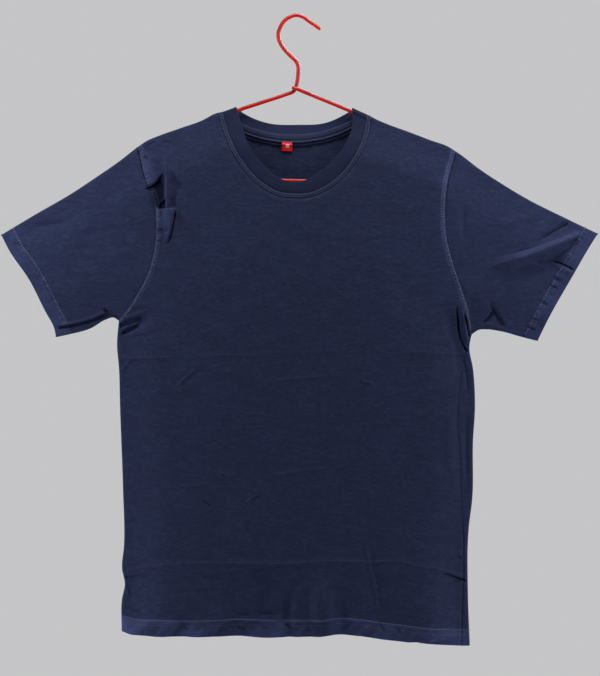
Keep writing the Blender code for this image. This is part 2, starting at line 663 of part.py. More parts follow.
# ------------------------------------------------------------------ sleeves
def make_sleeve(side, material, collection):
    """A closed tube from the armhole to the cuff, folded along top and underarm."""
    outward = -1.0 if side == "right" else 1.0
    heights = armhole_stations(side)
    low, high = heights[0], heights[-1]
    seam_s = (heights - low) / (high - low)
    cuff_low, cuff_high = CUFF_EDGE[side][0][0], CUFF_EDGE[side][-1][0]
    cuff_length = math.hypot(cuff_high - cuff_low,
                             CUFF_EDGE[side][-1][1] - CUFF_EDGE[side][0][1])
    turn = np.array(TURN_OFFSETS) / cuff_length
    middle = np.linspace(turn[-1], 1.0 - turn[-1], ARMHOLE_ROWS + 1)[1:-1]
    cuff_s = np.concatenate([[0.0], turn, middle, (1.0 - turn)[::-1], [1.0]])

    def seam_point(s):
        z = low + s * (high - low)
        step = 1e-4
        slope = (armhole_x(side, z + step) - armhole_x(side, z - step)) / (2 * step)
        x = armhole_x(side, z) + outward * SEAM_GAP * np.sqrt(1.0 + slope ** 2)
        return np.stack([x, z], axis=1)

    def cuff_point(s):
        z = cuff_low + s * (cuff_high - cuff_low)
        return np.stack([cuff_x(side, z), z], axis=1)

    start_low, start_high = seam_point(np.array([0.0]))[0], seam_point(np.array([1.0]))[0]
    end_low, end_high = cuff_point(np.array([0.0]))[0], cuff_point(np.array([1.0]))[0]

    def fold_point(edge, start, end, t):
        x = start[0] + t * (end[0] - start[0])
        z = underarm_z(side, x) if edge == "underarm" else top_z(side, x)
        return np.stack([x, z], axis=1)

    start_low[1] = underarm_z(side, start_low[0])[0]
    start_high[1] = top_z(side, start_high[0])[0]
    length = math.hypot(*(np.array(end_high) - start_high))
    band = 1.0 - CUFF_HEIGHT / length
    thin = band - BAND_STEP / length
    first = SLEEVE_FIRST_RING / length
    stations = [0.0, *np.linspace(first, thin, SLEEVE_RINGS), band, 1.0]

    count = len(seam_s)
    points, thick = [], []
    for ring, t in enumerate(stations):
        s = seam_s + (cuff_s - seam_s) * t
        seam, cuff = seam_point(s), cuff_point(s)
        seam[0], seam[-1] = start_low, start_high
        under = fold_point("underarm", start_low, end_low, np.full(count, t))
        over = fold_point("top", start_high, end_high, np.full(count, t))
        up = s[:, None]
        corners = ((1 - up) * (1 - t) * start_low + up * (1 - t) * start_high
                   + (1 - up) * t * end_low + up * t * end_high)
        flat = (1 - t) * seam + t * cuff + (1 - up) * under + up * over - corners
        folded = np.zeros(count, bool)
        folded[0] = folded[-1] = True
        rise = BAND_RISE if ring >= len(stations) - 2 else 0.0
        for face, order in (("front", 1), ("back", -1)):
            depth = cloth_depth(face, flat, folded) + rise
            if rise:
                thick.extend(range(len(points), len(points) + count))
            points.extend(tuple(point) for point in placed(face, flat, depth)[::order])

    around = 2 * count
    faces = []
    for ring in range(len(stations) - 1):
        for k in range(around):
            following = (k + 1) % around
            quad = [ring * around + k, ring * around + following,
                    (ring + 1) * around + following, (ring + 1) * around + k]
            faces.append(quad if side == "right" else quad[::-1])
    name = "sleeve_" + side
    piece = finish_object(name, sheet_mesh(name, points, faces), material, collection)
    add_wall(piece, JERSEY_WALL, HEM_WALL, thick)
    return piece


# ------------------------------------------------------------------ collar
def make_collar(material, collection):
    """A closed rib band from the neck seam to its free edge, all round the neck."""
    loops = [[] for _ in range(COLLAR_ROWS + 1)]
    for face, order in (("front", 1), ("back", -1)):
        rows = np.array(NECKLINE[face])
        fractions = neck_fractions(face)
        seam = along(rows[:, :2], fractions)
        edge = along(rows[:, 2:], fractions)
        widths = np.linalg.norm(edge - seam, axis=1)[:, None]
        seam = seam + (edge - seam) * SEAM_GAP / widths
        folded = np.zeros(len(seam), bool)
        folded[0] = folded[-1] = True
        for k in range(COLLAR_ROWS + 1):
            share = k / COLLAR_ROWS
            flat = seam + (edge - seam) * share
            for end in (0, -1):
                side = "right" if end == 0 else "left"
                flat[end][1] = top_z(side, flat[end][0])[0]
            depth = cloth_depth(face, flat, folded)
            depth = depth + COLLAR_CROWN * math.sin(math.pi * share) * ~folded
            loops[k].extend(tuple(point) for point in placed(face, flat, depth)[::order])
    around = len(loops[0])
    points = [point for loop in loops for point in loop]
    faces = []
    for k in range(COLLAR_ROWS):
        for j in range(around):
            following = (j + 1) % around
            faces.append([k * around + j, k * around + following,
                          (k + 1) * around + following, (k + 1) * around + j])
    mesh = sheet_mesh("collar_band", points, faces)
    piece = finish_object("collar_band", mesh, material, collection)
    add_wall(piece, COLLAR_WALL)
    return piece


# ------------------------------------------------------------ tape and label
def inner_strip(name, flat, material, collection):
    """A strip sewn on the back panel's inner side: flat is rows x columns x 2."""
    rows, columns = flat.shape[:2]
    points = flat.reshape(-1, 2)
    depth = cloth_depth("back", points, np.zeros(len(points), bool))
    depth = depth - JERSEY_WALL - SEAM_GAP
    mesh = sheet_mesh(name, placed("back", points, depth), grid_faces(rows, columns, True))
    piece = finish_object(name, mesh, material, collection)
    add_wall(piece, TAPE_WALL)
    return piece


def tape_line(drop, fractions):
    """The back neck seam moved down by a drop."""
    seam = np.array(NECKLINE["back"])[:, :2]
    line = along(seam, fractions)
    return line - np.array([0.0, drop])


def make_tape(material, collection):
    fractions = np.linspace(TAPE_ENDS[0], TAPE_ENDS[1], 19)
    lower, upper = tape_line(TAPE_REACH, fractions), tape_line(2 * SEAM_GAP, fractions)
    return inner_strip("neck_tape", np.stack([lower, upper]), material, collection)


def make_label(material, collection):
    """Hangs from under the tape, right of the neck's middle."""
    x = np.linspace(LABEL_X[0], LABEL_X[1], 4)
    line = tape_line(TAPE_REACH, np.linspace(0.0, 1.0, 60))
    top = np.interp(x, line[:, 0], line[:, 1]) - 2 * SEAM_GAP
    rows = [np.stack([x, top - LABEL_HEIGHT * share], axis=1) for share in (1.0, 0.5, 0.0)]
    return inner_strip("neck_label", np.stack(rows), material, collection)


# ------------------------------------------------------------------ hanger
def make_wire(name, points, material, collection):
    curve = bpy.data.curves.new(name, "CURVE")
    curve.dimensions = "3D"
    curve.bevel_depth = WIRE_RADIUS
    curve.bevel_resolution = 2
    curve.use_fill_caps = True
    spline = curve.splines.new("POLY")
    spline.points.add(len(points) - 1)
    for slot, point in zip(spline.points, points):
        slot.co = (*point, 1.0)
    spline.use_smooth = True
    curve.materials.append(material)
    piece = bpy.data.objects.new(name, curve)
    collection.objects.link(piece)
    return piece


def corner_arc(side):
    """The bend from an arm down and round to the level bar."""
    end, before = np.array(ARM_ROUTE[side][-1]), np.array(ARM_ROUTE[side][-2])
    heading = (end - before) / np.linalg.norm(end - before)
    turn = 1.0 if side == "right" else -1.0
    inward = turn * np.array([-heading[2], 0.0, heading[0]])
    centre = end + CORNER_RADIUS * inward
    start = math.atan2(*(end - centre)[[2, 0]])
    stop = -math.pi / 2.0 if side == "left" else 1.5 * math.pi
    angles = np.linspace(start, stop, CORNER_STEPS + 1)[1:]
    return [centre + CORNER_RADIUS * np.array([math.cos(a), 0.0, math.sin(a)]) for a in angles]


def make_hanger(material, collection):
    """Two nodes of one bent wire: the hook with its stem, and the triangle."""
    hook = along(HOOK_ROUTE, np.linspace(0.0, 1.0, HOOK_STEPS))
    make_wire("hanger_hook", hook, material, collection)
    steps = np.linspace(0.0, 1.0, ARM_STEPS)
    right = list(along(ARM_ROUTE["right"], steps))
    left = list(along(ARM_ROUTE["left"], np.linspace(0.0, 1.0, 2 * ARM_STEPS)))
    route = right + corner_arc("right") + corner_arc("left")[::-1] + left[::-1]
    make_wire("hanger_frame", route, material, collection)


# ------------------------------------------------------------------- main
def clear_scene():
    for thing in list(bpy.data.objects):
        bpy.data.objects.remove(thing, do_unlink=True)


def main():
    clear_scene()
    garment = bpy.data.collections.new("crew_neck_t_shirt")
    bpy.context.scene.collection.children.link(garment)
    jersey = make_material("navy_jersey", NAVY, 0.85)
    rib = make_material("navy_rib", NAVY_RIB, 0.88)
    tape = make_material("navy_tape", NAVY_TAPE, 0.85)
    label = make_material("red_label", LABEL_RED, 0.70)
    wire = make_material("red_coated_wire", WIRE_RED, 0.32)
    for face in ("front", "back"):
        make_panel(face, jersey, garment)
    for side in ("right", "left"):
        make_sleeve(side, jersey, garment)
    make_collar(rib, garment)
    make_tape(tape, garment)
    make_label(label, garment)
    make_hanger(wire, garment)


main()
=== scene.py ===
import math

import bpy
import numpy as np
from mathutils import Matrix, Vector
from mathutils.geometry import delaunay_2d_cdt


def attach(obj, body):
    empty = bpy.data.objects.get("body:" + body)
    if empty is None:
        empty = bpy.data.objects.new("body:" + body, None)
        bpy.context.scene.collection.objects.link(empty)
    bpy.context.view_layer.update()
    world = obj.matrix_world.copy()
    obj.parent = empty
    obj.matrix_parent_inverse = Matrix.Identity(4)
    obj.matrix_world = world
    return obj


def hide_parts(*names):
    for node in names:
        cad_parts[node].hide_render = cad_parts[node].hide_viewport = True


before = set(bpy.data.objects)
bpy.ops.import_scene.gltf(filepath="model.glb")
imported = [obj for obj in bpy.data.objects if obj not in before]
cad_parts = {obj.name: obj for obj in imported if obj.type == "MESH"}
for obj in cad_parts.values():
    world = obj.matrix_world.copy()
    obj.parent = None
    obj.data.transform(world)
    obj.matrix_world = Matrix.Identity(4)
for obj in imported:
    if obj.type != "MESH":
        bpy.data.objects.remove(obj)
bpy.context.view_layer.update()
print("frame loaded,", len(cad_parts), "solids")

# Metres, +Z up, the shirt's front towards -Y. "right" and "left" are the wearer's. The
# tables of lines are in millimetres, x and z in the front view.
turns = {"right": -1.0, "left": 1.0}
outward = {"front": -1.0, "back": 1.0}


def inMetres(millimetres):
    return [round(value / 1000.0, 6) for value in millimetres]


def mm(*line):   # x, z, x, z and so on, as points in metres
    values = inMetres(line)
    return list(zip(values[::2], values[1::2]))


shirtCut = {
    "topEdge": {   # the folded shoulder and sleeve top, from the collar out to the cuff
        "right": mm(-82.1, -123.2, -90.7, -126.8, -99.3, -129.5, -110.2, -132.3, -126.5, -140.9,
            -156.4, -151.7, -187.7, -162.8, -202, -168.8, -217, -178.8, -238, -195.3, -269.3,
            -217.1, -301.9, -238.8, -357.7, -271.3, -399.8, -296.5),
        "left": mm(77.5, -124.6, 88.4, -129.8, 95.9, -133, 110.2, -140.5, 123.8, -146.3, 153.7,
            -157.2, 182.2, -168.1, 207, -177.2, 221, -186, 247.5, -206.2, 280.2, -227.9, 316.9,
            -249.7, 360.4, -271.5, 409.4, -295),
    },
    "sideEdge": {   # the folded side, from the armpit down to the hem
        "right": mm(-241, -413.9, -243.4, -445.5, -240.7, -479.5, -239.4, -528.5, -235.3, -642.7,
            -234, -720, -236.6, -751, -232.8, -772, -236.6, -792, -237.2, -834.9),
        "left": mm(238.7, -432.6, 235.8, -448, 240.7, -479.5, 243.4, -528.5, 240.7, -577.5, 239.4,
            -659, 235.3, -691.7, 233.9, -789.6, 236.3, -854.6),
    },
    "armhole": {   # from the armpit up to the shoulder
        "right": mm(-241, -413.9, -217.6, -383, -198.6, -346.3, -190.4, -310.9, -189, -280, -193,
            -250, -204.5, -220, -215, -177.4),
        "left": mm(238.7, -432.6, 234, -402, 225.8, -376.2, 211.3, -334, 203, -298.7, 201.4, -265,
            204.6, -230, 217.2, -183.5),
    },
    "underarm": {   # the sleeve's folded underside, from the armpit out to the cuff
        "right": mm(-241, -413.9, -247, -409.8, -258.4, -412.2, -278.8, -424, -306, -431.9, -325,
            -436),
        "left": mm(238.7, -432.6, 248.6, -426.4, 258, -425.7, 279, -428.4, 307, -436, 327.2,
            -441.2),
    },
    "cuffEdge": {   # from the underarm up to the top fold
        "right": mm(-325, -436, -327.6, -423.8, -338.6, -402, -360.4, -358.5, -390.3, -315, -399.8,
            -296.5),
        "left": mm(327.2, -441.2, 346, -402, 370.8, -358.5, 396.5, -315, 409.4, -295),
    },
    "hemEdge": mm(-237.2, -834.9, -223.7, -838.2, -184.1, -838.2, -134.6, -839.8, -82, -838.2,
        -35.8, -839.8, 13.6, -839.1, 66.4, -836.5, 89.5, -838.8, 122.4, -843.5, 162, -847.4, 236.3,
        -854.6),
    # where the left side seam shows on the front, from the armpit down to the hem
    "leftSideSeam": mm(238.7, -432.6, 233.5, -443, 229, -460, 222.2, -500, 218.6, -554.3, 222.2,
        -600, 223.2, -649, 226.8, -713.2, 226.6, -761.1, 224.9, -809.3, 223.2, -853.1),
    "neckSeam": {   # the neck seam, from right to left
        "front": mm(-99.3, -129.5, -93.8, -151.6, -74.4, -193.8, -49.4, -223.4, -18.1, -240.6,
            -2.5, -241.8, 13.1, -241.4, 45.8, -227.4, 74, -198.4, 92.8, -157.9, 95.9, -133),
        "back": mm(-99.3, -129.5, -90, -142.3, -76.7, -151.6, -43.1, -163.3, 2.2, -167.3, 49,
            -159.4, 72.4, -150, 85.7, -141.6, 95.9, -133),
    },
    "neckEdge": {   # the collar's free edge over the same points
        "front": mm(-82.1, -123.2, -76.7, -142.3, -60.5, -184.1, -39.4, -209.6, -15.6, -225, -2.5,
            -226.6, 10.2, -225.3, 35.8, -211.2, 58.5, -189.4, 75.5, -155.9, 77.5, -124.6),
        "back": mm(-82.1, -123.2, -76.8, -128, -66, -134.6, -39.4, -143.9, 1.4, -146.4, 44.2,
            -142.8, 63.9, -134.4, 72.8, -129, 77.5, -124.6),
    },
}

# How the cloth stands off the plane of the hanger
clothForm = {
    "foldLip": 0.0008,            # half the flat width of a folded edge
    "foldRadius": 0.0035,         # the cloth's round turn there
    "fullnessRun": 0.062,         # distance from a folded edge to the full depth
    "bodyFullness": {"front": 0.011, "back": 0.007},
    "sleeveFullness": {"front": 0.0065, "back": 0.0045},
    "bodyToSleeve": (0.19, 0.27),
    "foldEnds": 0.35,             # share of a large fold's length over which each end dies out
    "jersey": 0.0009,             # wall of one layer
    "doubled": 0.0017,            # wall of a turned-up hem
    "hemBand": 0.0214,
    "cuffBand": 0.0186,
    "bandRise": 0.00045,          # how far a turned-up band stands proud
    "creaseRun": 0.0045,          # distances from a folded edge over which detail sets in
    "seamRun": 0.003,
    "bandRun": 0.0015,
    "hemFlare": 0.0042,           # how far the hem's edge swings out, and over what height
    "flareRun": 0.03,
    "pitch": 0.004,               # spacing of the mesh on plain cloth
    "edgePitch": 0.0026,          # and along the edges of a piece
    "seamShift": 0.0004,          # each piece's edge keeps this far from the seam's line
    "allowance": 0.0045,          # cloth tucked in behind the next piece at a seam
    "sleeveTuck": (0.0022, 0.0003),   # how much lower it lies there: at the shoulder, below it
    "sideTuck": (0.0012, 0.0012),
    "tuckRun": 0.0021,            # width of the slope down to it
    "leastDepth": 0.0013,         # front and back never come closer than twice this
    # soft waves all over: height off the cloth, spacing across and down
    "waves": ((0.00075, 0.085, 0.12), (0.0003, 0.036, 0.03), (0.0002, 0.024, 0.012)),
    "clearance": 0.0003,
}
turnSteps = (0.00025, 0.0009, 0.002, 0.0034)   # rows that follow a folded edge's turn

# Large folds: from x, from z, to x, to z, half width, height out of the cloth
largeFolds = {
    "front": [
        (-186, -196, -183, -282, 17, -6.5),    # hollow at the right shoulder
        (-172, -185, -168, -330, 15, 3.5),     # pinched ridge beside it
        (-242, -425, -190, -404, 14, -5),      # pit under the right arm
        (220, -375, 238, -470, 12, 4),         # pleat under the left arm
        (203, -385, 226, -500, 14, -3),        # hollow beside that pleat
        (250, -350, 392, -296, 14, 4),         # ridge across the left sleeve
        (290, -358, 375, -322, 20, -3.6),      # hollow under that ridge
        (-233, -756, 20, -741, 16, 1.8),       # packing crease, right half
        (0, -741, 233, -762, 16, 1.8),         # packing crease, left half
        (-40, -750, -20, -835, 30, -3.5),      # flutes above the hem
        (35, -748, 40, -835, 34, 4),
        (91, -658, 113, -830, 22, -2.5),
        (-140, -755, -150, -838, 34, 2.5),
    ],
    "back": [
        (-120, -215, -150, -420, 34, 3),       # drape from the shoulders
        (135, -215, 160, -400, 30, 2.8),
        (-236, -400, -190, -470, 16, -3.5),    # pits under the arms
        (236, -420, 180, -480, 16, -3),
        (-380, -310, -270, -350, 18, 3),       # ridges across the sleeves
        (260, -350, 380, -330, 18, 3),
        (-90, -700, -110, -838, 36, 3),        # flutes above the hem
        (60, -690, 40, -838, 40, -3),
        (160, -720, 170, -845, 32, 2.8),
    ],
}

# Creases: reach to the left and right of the walk along the line, height out of the cloth,
# shares of the length over which the two ends fade, and the line
frontCreases = [
    # across the waist, where the shirt was folded in its packing
    (1.8, 4.2, 1.1, 0.06, 0.45, -236.5, -465, -197.3, -463.9, -151.4, -463.1),
    (2.2, 5, 0.3, 0.3, 0.3, -170.3, -463.3, -89.2, -460.4, 46, -456, 156.9, -457.1),
    (2.2, 4.4, 0.8, 0.45, 0.06, 129.8, -456.6, 189.3, -457.4, 228.5, -459.5),
    # across above the hem: a thin edge with a hollow under its ends
    (2, 5.2, 1.9, 0.03, 0.06, -233.8, -754.5, -200, -746.4, -177.1, -742.6, -148.7, -741.3, -108.1,
     -740.7, -71.6, -741.3, -25.7, -742.1, 8.1, -741.6),
    (2, 5.2, 1.9, 0.06, 0.03, -8.1, -741.8, 29.8, -739.1, 59.5, -737.9, 97.4, -739.7, 142, -739.1,
     160.9, -743.3, 190.6, -748.9, 205, -753, 229.9, -762.6),
    (3, 6.2, -3, 0.04, 0.4, -235.2, -762.4, -210.9, -757.5, -186.5, -753.7),
    (1.4, 1.6, -1.5, 0.3, 0.3, 209.6, -765.6, 223.1, -768.9),
    (1.4, 1.6, -1.5, 0.3, 0.3, 215.8, -733.2, 225.8, -736.4),
    # upright and slanting ones in the skirt of the shirt
    (1.7, 4.6, 1.1, 0.2, 0.15, 94.3, -710.5, 99.1, -742.1, 104, -766.4, 108.9, -790.8, 110.1,
     -817.3),
    (3.2, 1.8, -0.6, 0.2, 0.2, 99.4, -717.2, 104.1, -744.3, 109, -767.2, 113.6, -791.6, 114.4,
     -814.6),
    (2, 4, 0.6, 0.3, 0.3, 127.1, -771.3, 122.2, -814.6),
    (1.8, 5, 1.3, 0.15, 0.2, 198.8, -752.4, 180.6, -776.2, 165, -797, 151.4, -817.3),
    # flutes that run down past the hem
    (21, 18, 8, 0.42, 0.02, 35.2, -761.8, 35.2, -845.7),
    (10, 10, -2.6, 0.9, 0.02, 62.2, -764.5, 62.2, -845.7),
    (9, 10, -4, 0.6, 0.02, 5, -752, -9, -800, -9, -845.7),
    (48, 48, 7, 0.9, 0.02, -183.7, -737.4, -183.7, -845.7),
    (44, 44, -5, 0.9, 0.02, -62, -737.4, -62, -845.7),
    (48, 44, 9, 0.9, 0.02, 170, -737.4, 180, -852),
    (5, 7, 0.9, 0.2, 0.3, -59.5, -741.6, -44.6, -814.6),
    (2.2, 4.5, -1, 0.3, 0.3, -171.7, -777.8, -132.5, -778.3, -94.6, -779.9),
    (3.6, 4.4, -1.6, 0.45, 0.45, -206.8, -789.4, -177.1, -790.8),
    (3.4, 4.6, -2.2, 0.45, 0.45, -228.4, -805.1, -200, -807.5),
    (3.6, 4.4, -2, 0.45, 0.45, -85.1, -809.4, -54, -810.5),
    (3.6, 4.6, -2.4, 0.45, 0.45, -52.7, -810, -12.1, -810),
    (1.8, 3, 1.4, 0.15, 0.4, -231.7, -771.3, -228.4, -780.8, -225.2, -791.6),
    # in the middle of the body
    (2, 2.6, 1.5, 0.35, 0.35, -161.4, -502.5, -131.4, -475.1),
    (2.2, 4, 1.2, 0.4, 0.4, -109.5, -617.2, -86.5, -625.3),
    (2.2, 5, 1.2, 0.35, 0.4, -40.5, -626.6, -1.3, -617.2, 60.9, -613.1),
    (1.6, 2.6, 1.5, 0.35, 0.35, -110.8, -616.8, -104.1, -622.6, -94.6, -629.3),
    (1.6, 2.4, -1.5, 0.35, 0.35, -126.1, -655, -110.8, -668.1),
    (1.6, 3.6, 1, 0.35, 0.35, -173, -640.2, -143.3, -636.1, -110.8, -634.8),
    (1.8, 3.6, 0.8, 0.35, 0.35, -44.6, -495.5, 5.4, -491.5, 63.6, -488.2),
    (1.6, 2.4, 1.5, 0.35, 0.35, 84.7, -492.3, 94.7, -496.9, 105.5, -498.2),
    (1.6, 2.4, 1.2, 0.35, 0.35, -70.3, -663.1, -59.5, -652.3, -45.9, -646.9),
    (1.8, 3, 1, 0.35, 0.35, 50.1, -615.8, 75.7, -605),
    # the pinch at the right shoulder: flaps of chest cloth with cracks under them
    (12, 1.2, 3.4, 0.12, 0.3, -202.1, -234.1, -197.9, -231.3, -193, -228.4, -187.9, -224, -183.6,
     -217.8, -178.7, -211.6),
    (2.2, 1.7, 2.6, 0.45, 0.06, -175.2, -183.2, -174.9, -213, -174.4, -237.3, -173.6, -263.7),
    (2.8, 7, -4, 0.3, 0.2, -180.3, -221.1, -179.5, -237.3, -180.3, -253.5),
    (8, 6, -1.6, 0.3, 0.15, -168.3, -215.7, -166.3, -237.3, -165.6, -263),
    (1.1, 12, 2.4, 0.12, 0.08, -189.5, -263.4, -177.1, -263.4, -164.4, -264.9),
    (6, 5, -1.6, 0.35, 0.4, -158.8, -267, -160.2, -283.3, -164.2, -299.5),
    (0.8, 11, -2.2, 0.2, 0.25, -187.9, -290, -169, -290.6),
    (3, 3, 1, 0.3, 0.3, -190.6, -304.9, -175.7, -302.2),
    (1.4, 2.2, -0.9, 0.2, 0.35, -212.2, -188.6, -208.8, -182.5, -198.7, -175.1, -182.5, -167.3),
    (2.8, 2.8, -1.7, 0.3, 0.3, -207.5, -191.3, -203.4, -194, -201.4, -197.4),
    (1.8, 2.4, -0.9, 0.35, 0.35, -183.8, -171.7, -167.6, -172.4),
    # puckers across the hem's band
    (4.4, 3, -1.6, 0.45, 0.35, -158.1, -819.3, -151.4, -825.4, -143.3, -833.5),
    (4.4, 3, -1, 0.45, 0.35, -137.9, -825.4, -129.7, -834.2),
    (4.4, 3, -1, 0.45, 0.35, -125.7, -821.3, -118.9, -834.2),
    (4.4, 3, -1.6, 0.45, 0.35, -83.8, -824.7, -74.3, -830.8, -63.5, -835.5),
    (4.4, 3, -1.8, 0.45, 0.35, -56.7, -818.6, -47.3, -826.7, -36.5, -835.5),
    (4.4, 3, -1.8, 0.45, 0.35, -24.3, -818.6, -12.1, -826.7, 1.4, -834.2),
    (4.4, 3, -0.8, 0.45, 0.35, 46, -821.3, 56.8, -832.1),
    (4.4, 3, -1.6, 0.45, 0.35, 110.9, -817.9, 114.3, -828.1, 121, -838.2),
    (4.4, 3, -1.4, 0.45, 0.35, 132.5, -824, 136.6, -832.1, 144.7, -840.2),
    (4.4, 3, -0.8, 0.45, 0.35, 181.2, -828.1, 189.3, -840.2),
    (1, 1.6, -1, 0.3, 0.3, -90.5, -819.7, -67.6, -820),
    (1, 1.8, -1.4, 0.3, 0.3, -25.7, -819.4, -13.5, -819.8),
    # under the right arm
    (2.2, 2.2, 3.6, 0.15, 0.4, -237.9, -426, -223, -420.3, -206.8, -413.6),
    (4, 3, 3.2, 0.2, 0.4, -232.5, -410.9, -216.3, -405.5, -197.3, -399.5),
    (5, 5, 1.4, 0.25, 0.5, -235.2, -437.9, -210.9, -429.3, -181.1, -422.5),
    (3, 3.4, -1.8, 0.4, 0.4, -225.7, -396.5, -195.3, -397.9),
    (1.8, 2.2, -0.8, 0.3, 0.35, -239.3, -463.6, -220.9, -484.7),
    (2.2, 2.2, 1.1, 0.3, 0.35, -237.9, -484.7, -221.7, -461.7),
    # under the left arm
    (2.6, 2.6, 2.8, 0.3, 0.2, 223.1, -394.1, 228, -419.8, 233.1, -449.5),
    (2.2, 3, -1.6, 0.3, 0.4, 225.8, -456.3, 231.2, -488.7, 233.9, -526.6),
    (10, 11, 2.2, 0.35, 0.4, 210.9, -499.6, 208.2, -561.7, 215, -663.1),
    (5.2, 4.8, -2, 0.35, 0.4, 231.2, -521.2, 230.4, -588.8, 232.6, -663.1),
    (6, 5, 1.4, 0.35, 0.4, 204.2, -426.6, 210.9, -456.3, 216.3, -494.2),
    # right sleeve: the underarm seam, drawn in, and the pull from it
    (3.4, 1.5, 2.4, 0.12, 0.1, -322.5, -420.4, -303.5, -417.5, -276, -410.6, -253, -400),
    (6, 7, -2, 0.2, 0.4, -383.3, -308.1, -358.9, -321.4),
    (5.5, 10, -2, 0.3, 0.4, -363, -289.2, -335.9, -283.8, -307.5, -280),
    (18, 18, 1.2, 0.3, 0.4, -249.2, -207.1, -292.6, -288.4, -327.8, -348),
    # left sleeve: the long ridge with a sharp lower edge, and its tucks
    (1.4, 3.6, -3.6, 0.35, 0.06, 327.8, -306, 348.1, -292.4, 369.8, -281.1),
    (2.6, 12, -2, 0.3, 0.4, 272.3, -340.7, 296.7, -342, 322.4, -338.5),
    (2.8, 6, 1.8, 0.3, 0.1, 346.8, -337.9, 360.3, -343.4, 373.9, -350.7),
    (3.4, 4.6, -6, 0.3, 0.25, 260.6, -388.6, 272.3, -405.7, 283.7, -424.6),
    (3.4, 3.8, -5.2, 0.25, 0.25, 252.8, -417.9, 262, -407.6, 270.4, -398.1),
    (6, 6, -2, 0.4, 0.4, 225.7, -250.4, 226.8, -284.3, 224.9, -318.2),
    (7, 12, 1.4, 0.35, 0.35, 265.5, -285.7, 303.4, -276.2, 337.3, -266.7),
    (2, 2.4, -1, 0.35, 0.35, 197.8, -307.9, 211.3, -310),
    (1.8, 1.4, -1.1, 0.3, 0.15, 280.4, -326.8, 304.8, -320, 329.2, -313, 352.2, -304, 383.4,
     -291.6),
]
backCreases = [
    # the same packing folds cross the back
    (3.2, 7, 0.9, 0.1, 0.45, -237, -468, -130, -461, -30, -464),
    (3.2, 7, 1, 0.45, 0.1, 30, -462, 140, -459, 235, -465),
    (3.4, 8, 1.3, 0.06, 0.25, -234, -750, -120, -744, 20, -746),
    (3.4, 8, 1.2, 0.25, 0.06, -10, -746.5, 120, -742, 233, -756),
    (5, 7, 0.9, 0.3, 0.25, -80, -650, -95, -730, -93, -810),
    (6, 7, 0.8, 0.2, 0.3, 118, -745, 95, -812),
    (12, 14, -1, 0.3, 0.4, 5, -180, 2, -290),
    # pulls from the shoulders and the armpits
    (8, 6, -2.2, 0.3, 0.4, -188, -190, -178, -240, -182, -295),
    (6, 8, -2, 0.3, 0.4, 190, -198, 180, -245, 184, -300),
    (3, 5, -2.8, 0.12, 0.45, -240, -423, -215, -428, -195, -442),
    (5, 3, -2.6, 0.12, 0.45, 238, -440, 215, -444, 195, -456),
    (3, 3, -1.6, 0.3, 0.3, -262, -402, -278, -416),
    (3, 3, -1.6, 0.3, 0.3, 262, -404, 278, -420),
    # across the sleeves
    (8, 4.5, 1.2, 0.35, 0.25, -265, -330, -315, -308, -370, -293),
    (4.5, 8, 1.3, 0.35, 0.25, 265, -335, 315, -316, 372, -299),
]
sharpCreases = [   # in front: a "flap" has straight sides, a "slit" a flat bottom
    # across above the hem: a thin edge with a hollow under its ends
    ("slit", 1.2, 2, -4.4, 0.3, 0.04, 196.1, -753.2, 215, -760.7, 231.2, -767.2),
    # the pinch at the right shoulder: flaps of chest cloth with cracks under them
    ("slit", 1.6, 1.9, -8.5, 0.3, 0.42, -204.6, -237.3, -198.7, -234.5, -193.3, -231.3, -187.9,
     -227, -183.3, -220.8, -177.3, -213.5),
    ("flap", 7, 1.3, 2.2, 0.25, 0.3, -169, -208.2, -160.8, -219.7, -153.4, -231.2),
    ("flap", 1.3, 4.8, 3, 0.1, 0.25, -164.4, -265.1, -167.1, -280.6, -170, -295.4, -174.6, -311.7),
    ("slit", 1.3, 1.3, -6.5, 0.15, 0.25, -162.5, -265.7, -165.2, -280.6, -168.3, -296, -173,
     -312.3),
    # under the right arm
    ("slit", 3.2, 3.8, -11, 0.03, 0.42, -239.8, -420.6, -224.4, -415.2, -205.5, -407.9),
    ("slit", 2.6, 3.2, -9.5, 0.12, 0.45, -236.5, -431.7, -223, -425.5, -209.5, -418.2),
    # under the left arm
    ("slit", 1.3, 1.4, -5, 0.3, 0.12, 226.6, -400.9, 231.2, -418.4, 236.1, -437.9),
    ("slit", 1.4, 2, -6, 0.35, 0.12, 216.9, -390.1, 219.6, -410.9, 223.1, -436.8, 233.9, -459.8),
    # right sleeve: the underarm seam, drawn in, and the pull from it
    ("slit", 2.7, 2.8, -6.5, 0.1, 0.05, -323.7, -423.8, -304.8, -420.9, -277, -413.9, -251.9,
     -403),
    ("slit", 2.2, 2.4, -8, 0.3, 0.06, -262.1, -397.6, -250.8, -405.7, -239.7, -412.2),
    # left sleeve: the long ridge with a sharp lower edge, and its tucks
    ("flap", 8.6, 1.3, 5.2, 0.3, 0.05, 256, -344.2, 280.4, -336.2, 304.8, -328.9, 329.2, -320.8,
     351.5, -311.5, 379.9, -299.3, 386.5, -296.4),
    ("slit", 1, 1.4, -5, 0.22, 0.06, 346, -332, 361.7, -337.4, 375.8, -345),
]


def readCrease(form, left, right, rise, start, end, *line):
    return {"left": left / 1000.0, "right": right / 1000.0, "rise": rise / 1000.0,
            "fade": (start, end), "form": form, "line": np.array(line).reshape(-1, 2) / 1000.0}


creases = {"front": [readCrease(*row) for row in sharpCreases], "back": []}
for face, rows in (("front", frontCreases), ("back", backCreases)):
    creases[face] += [readCrease("soft", *row) for row in rows]

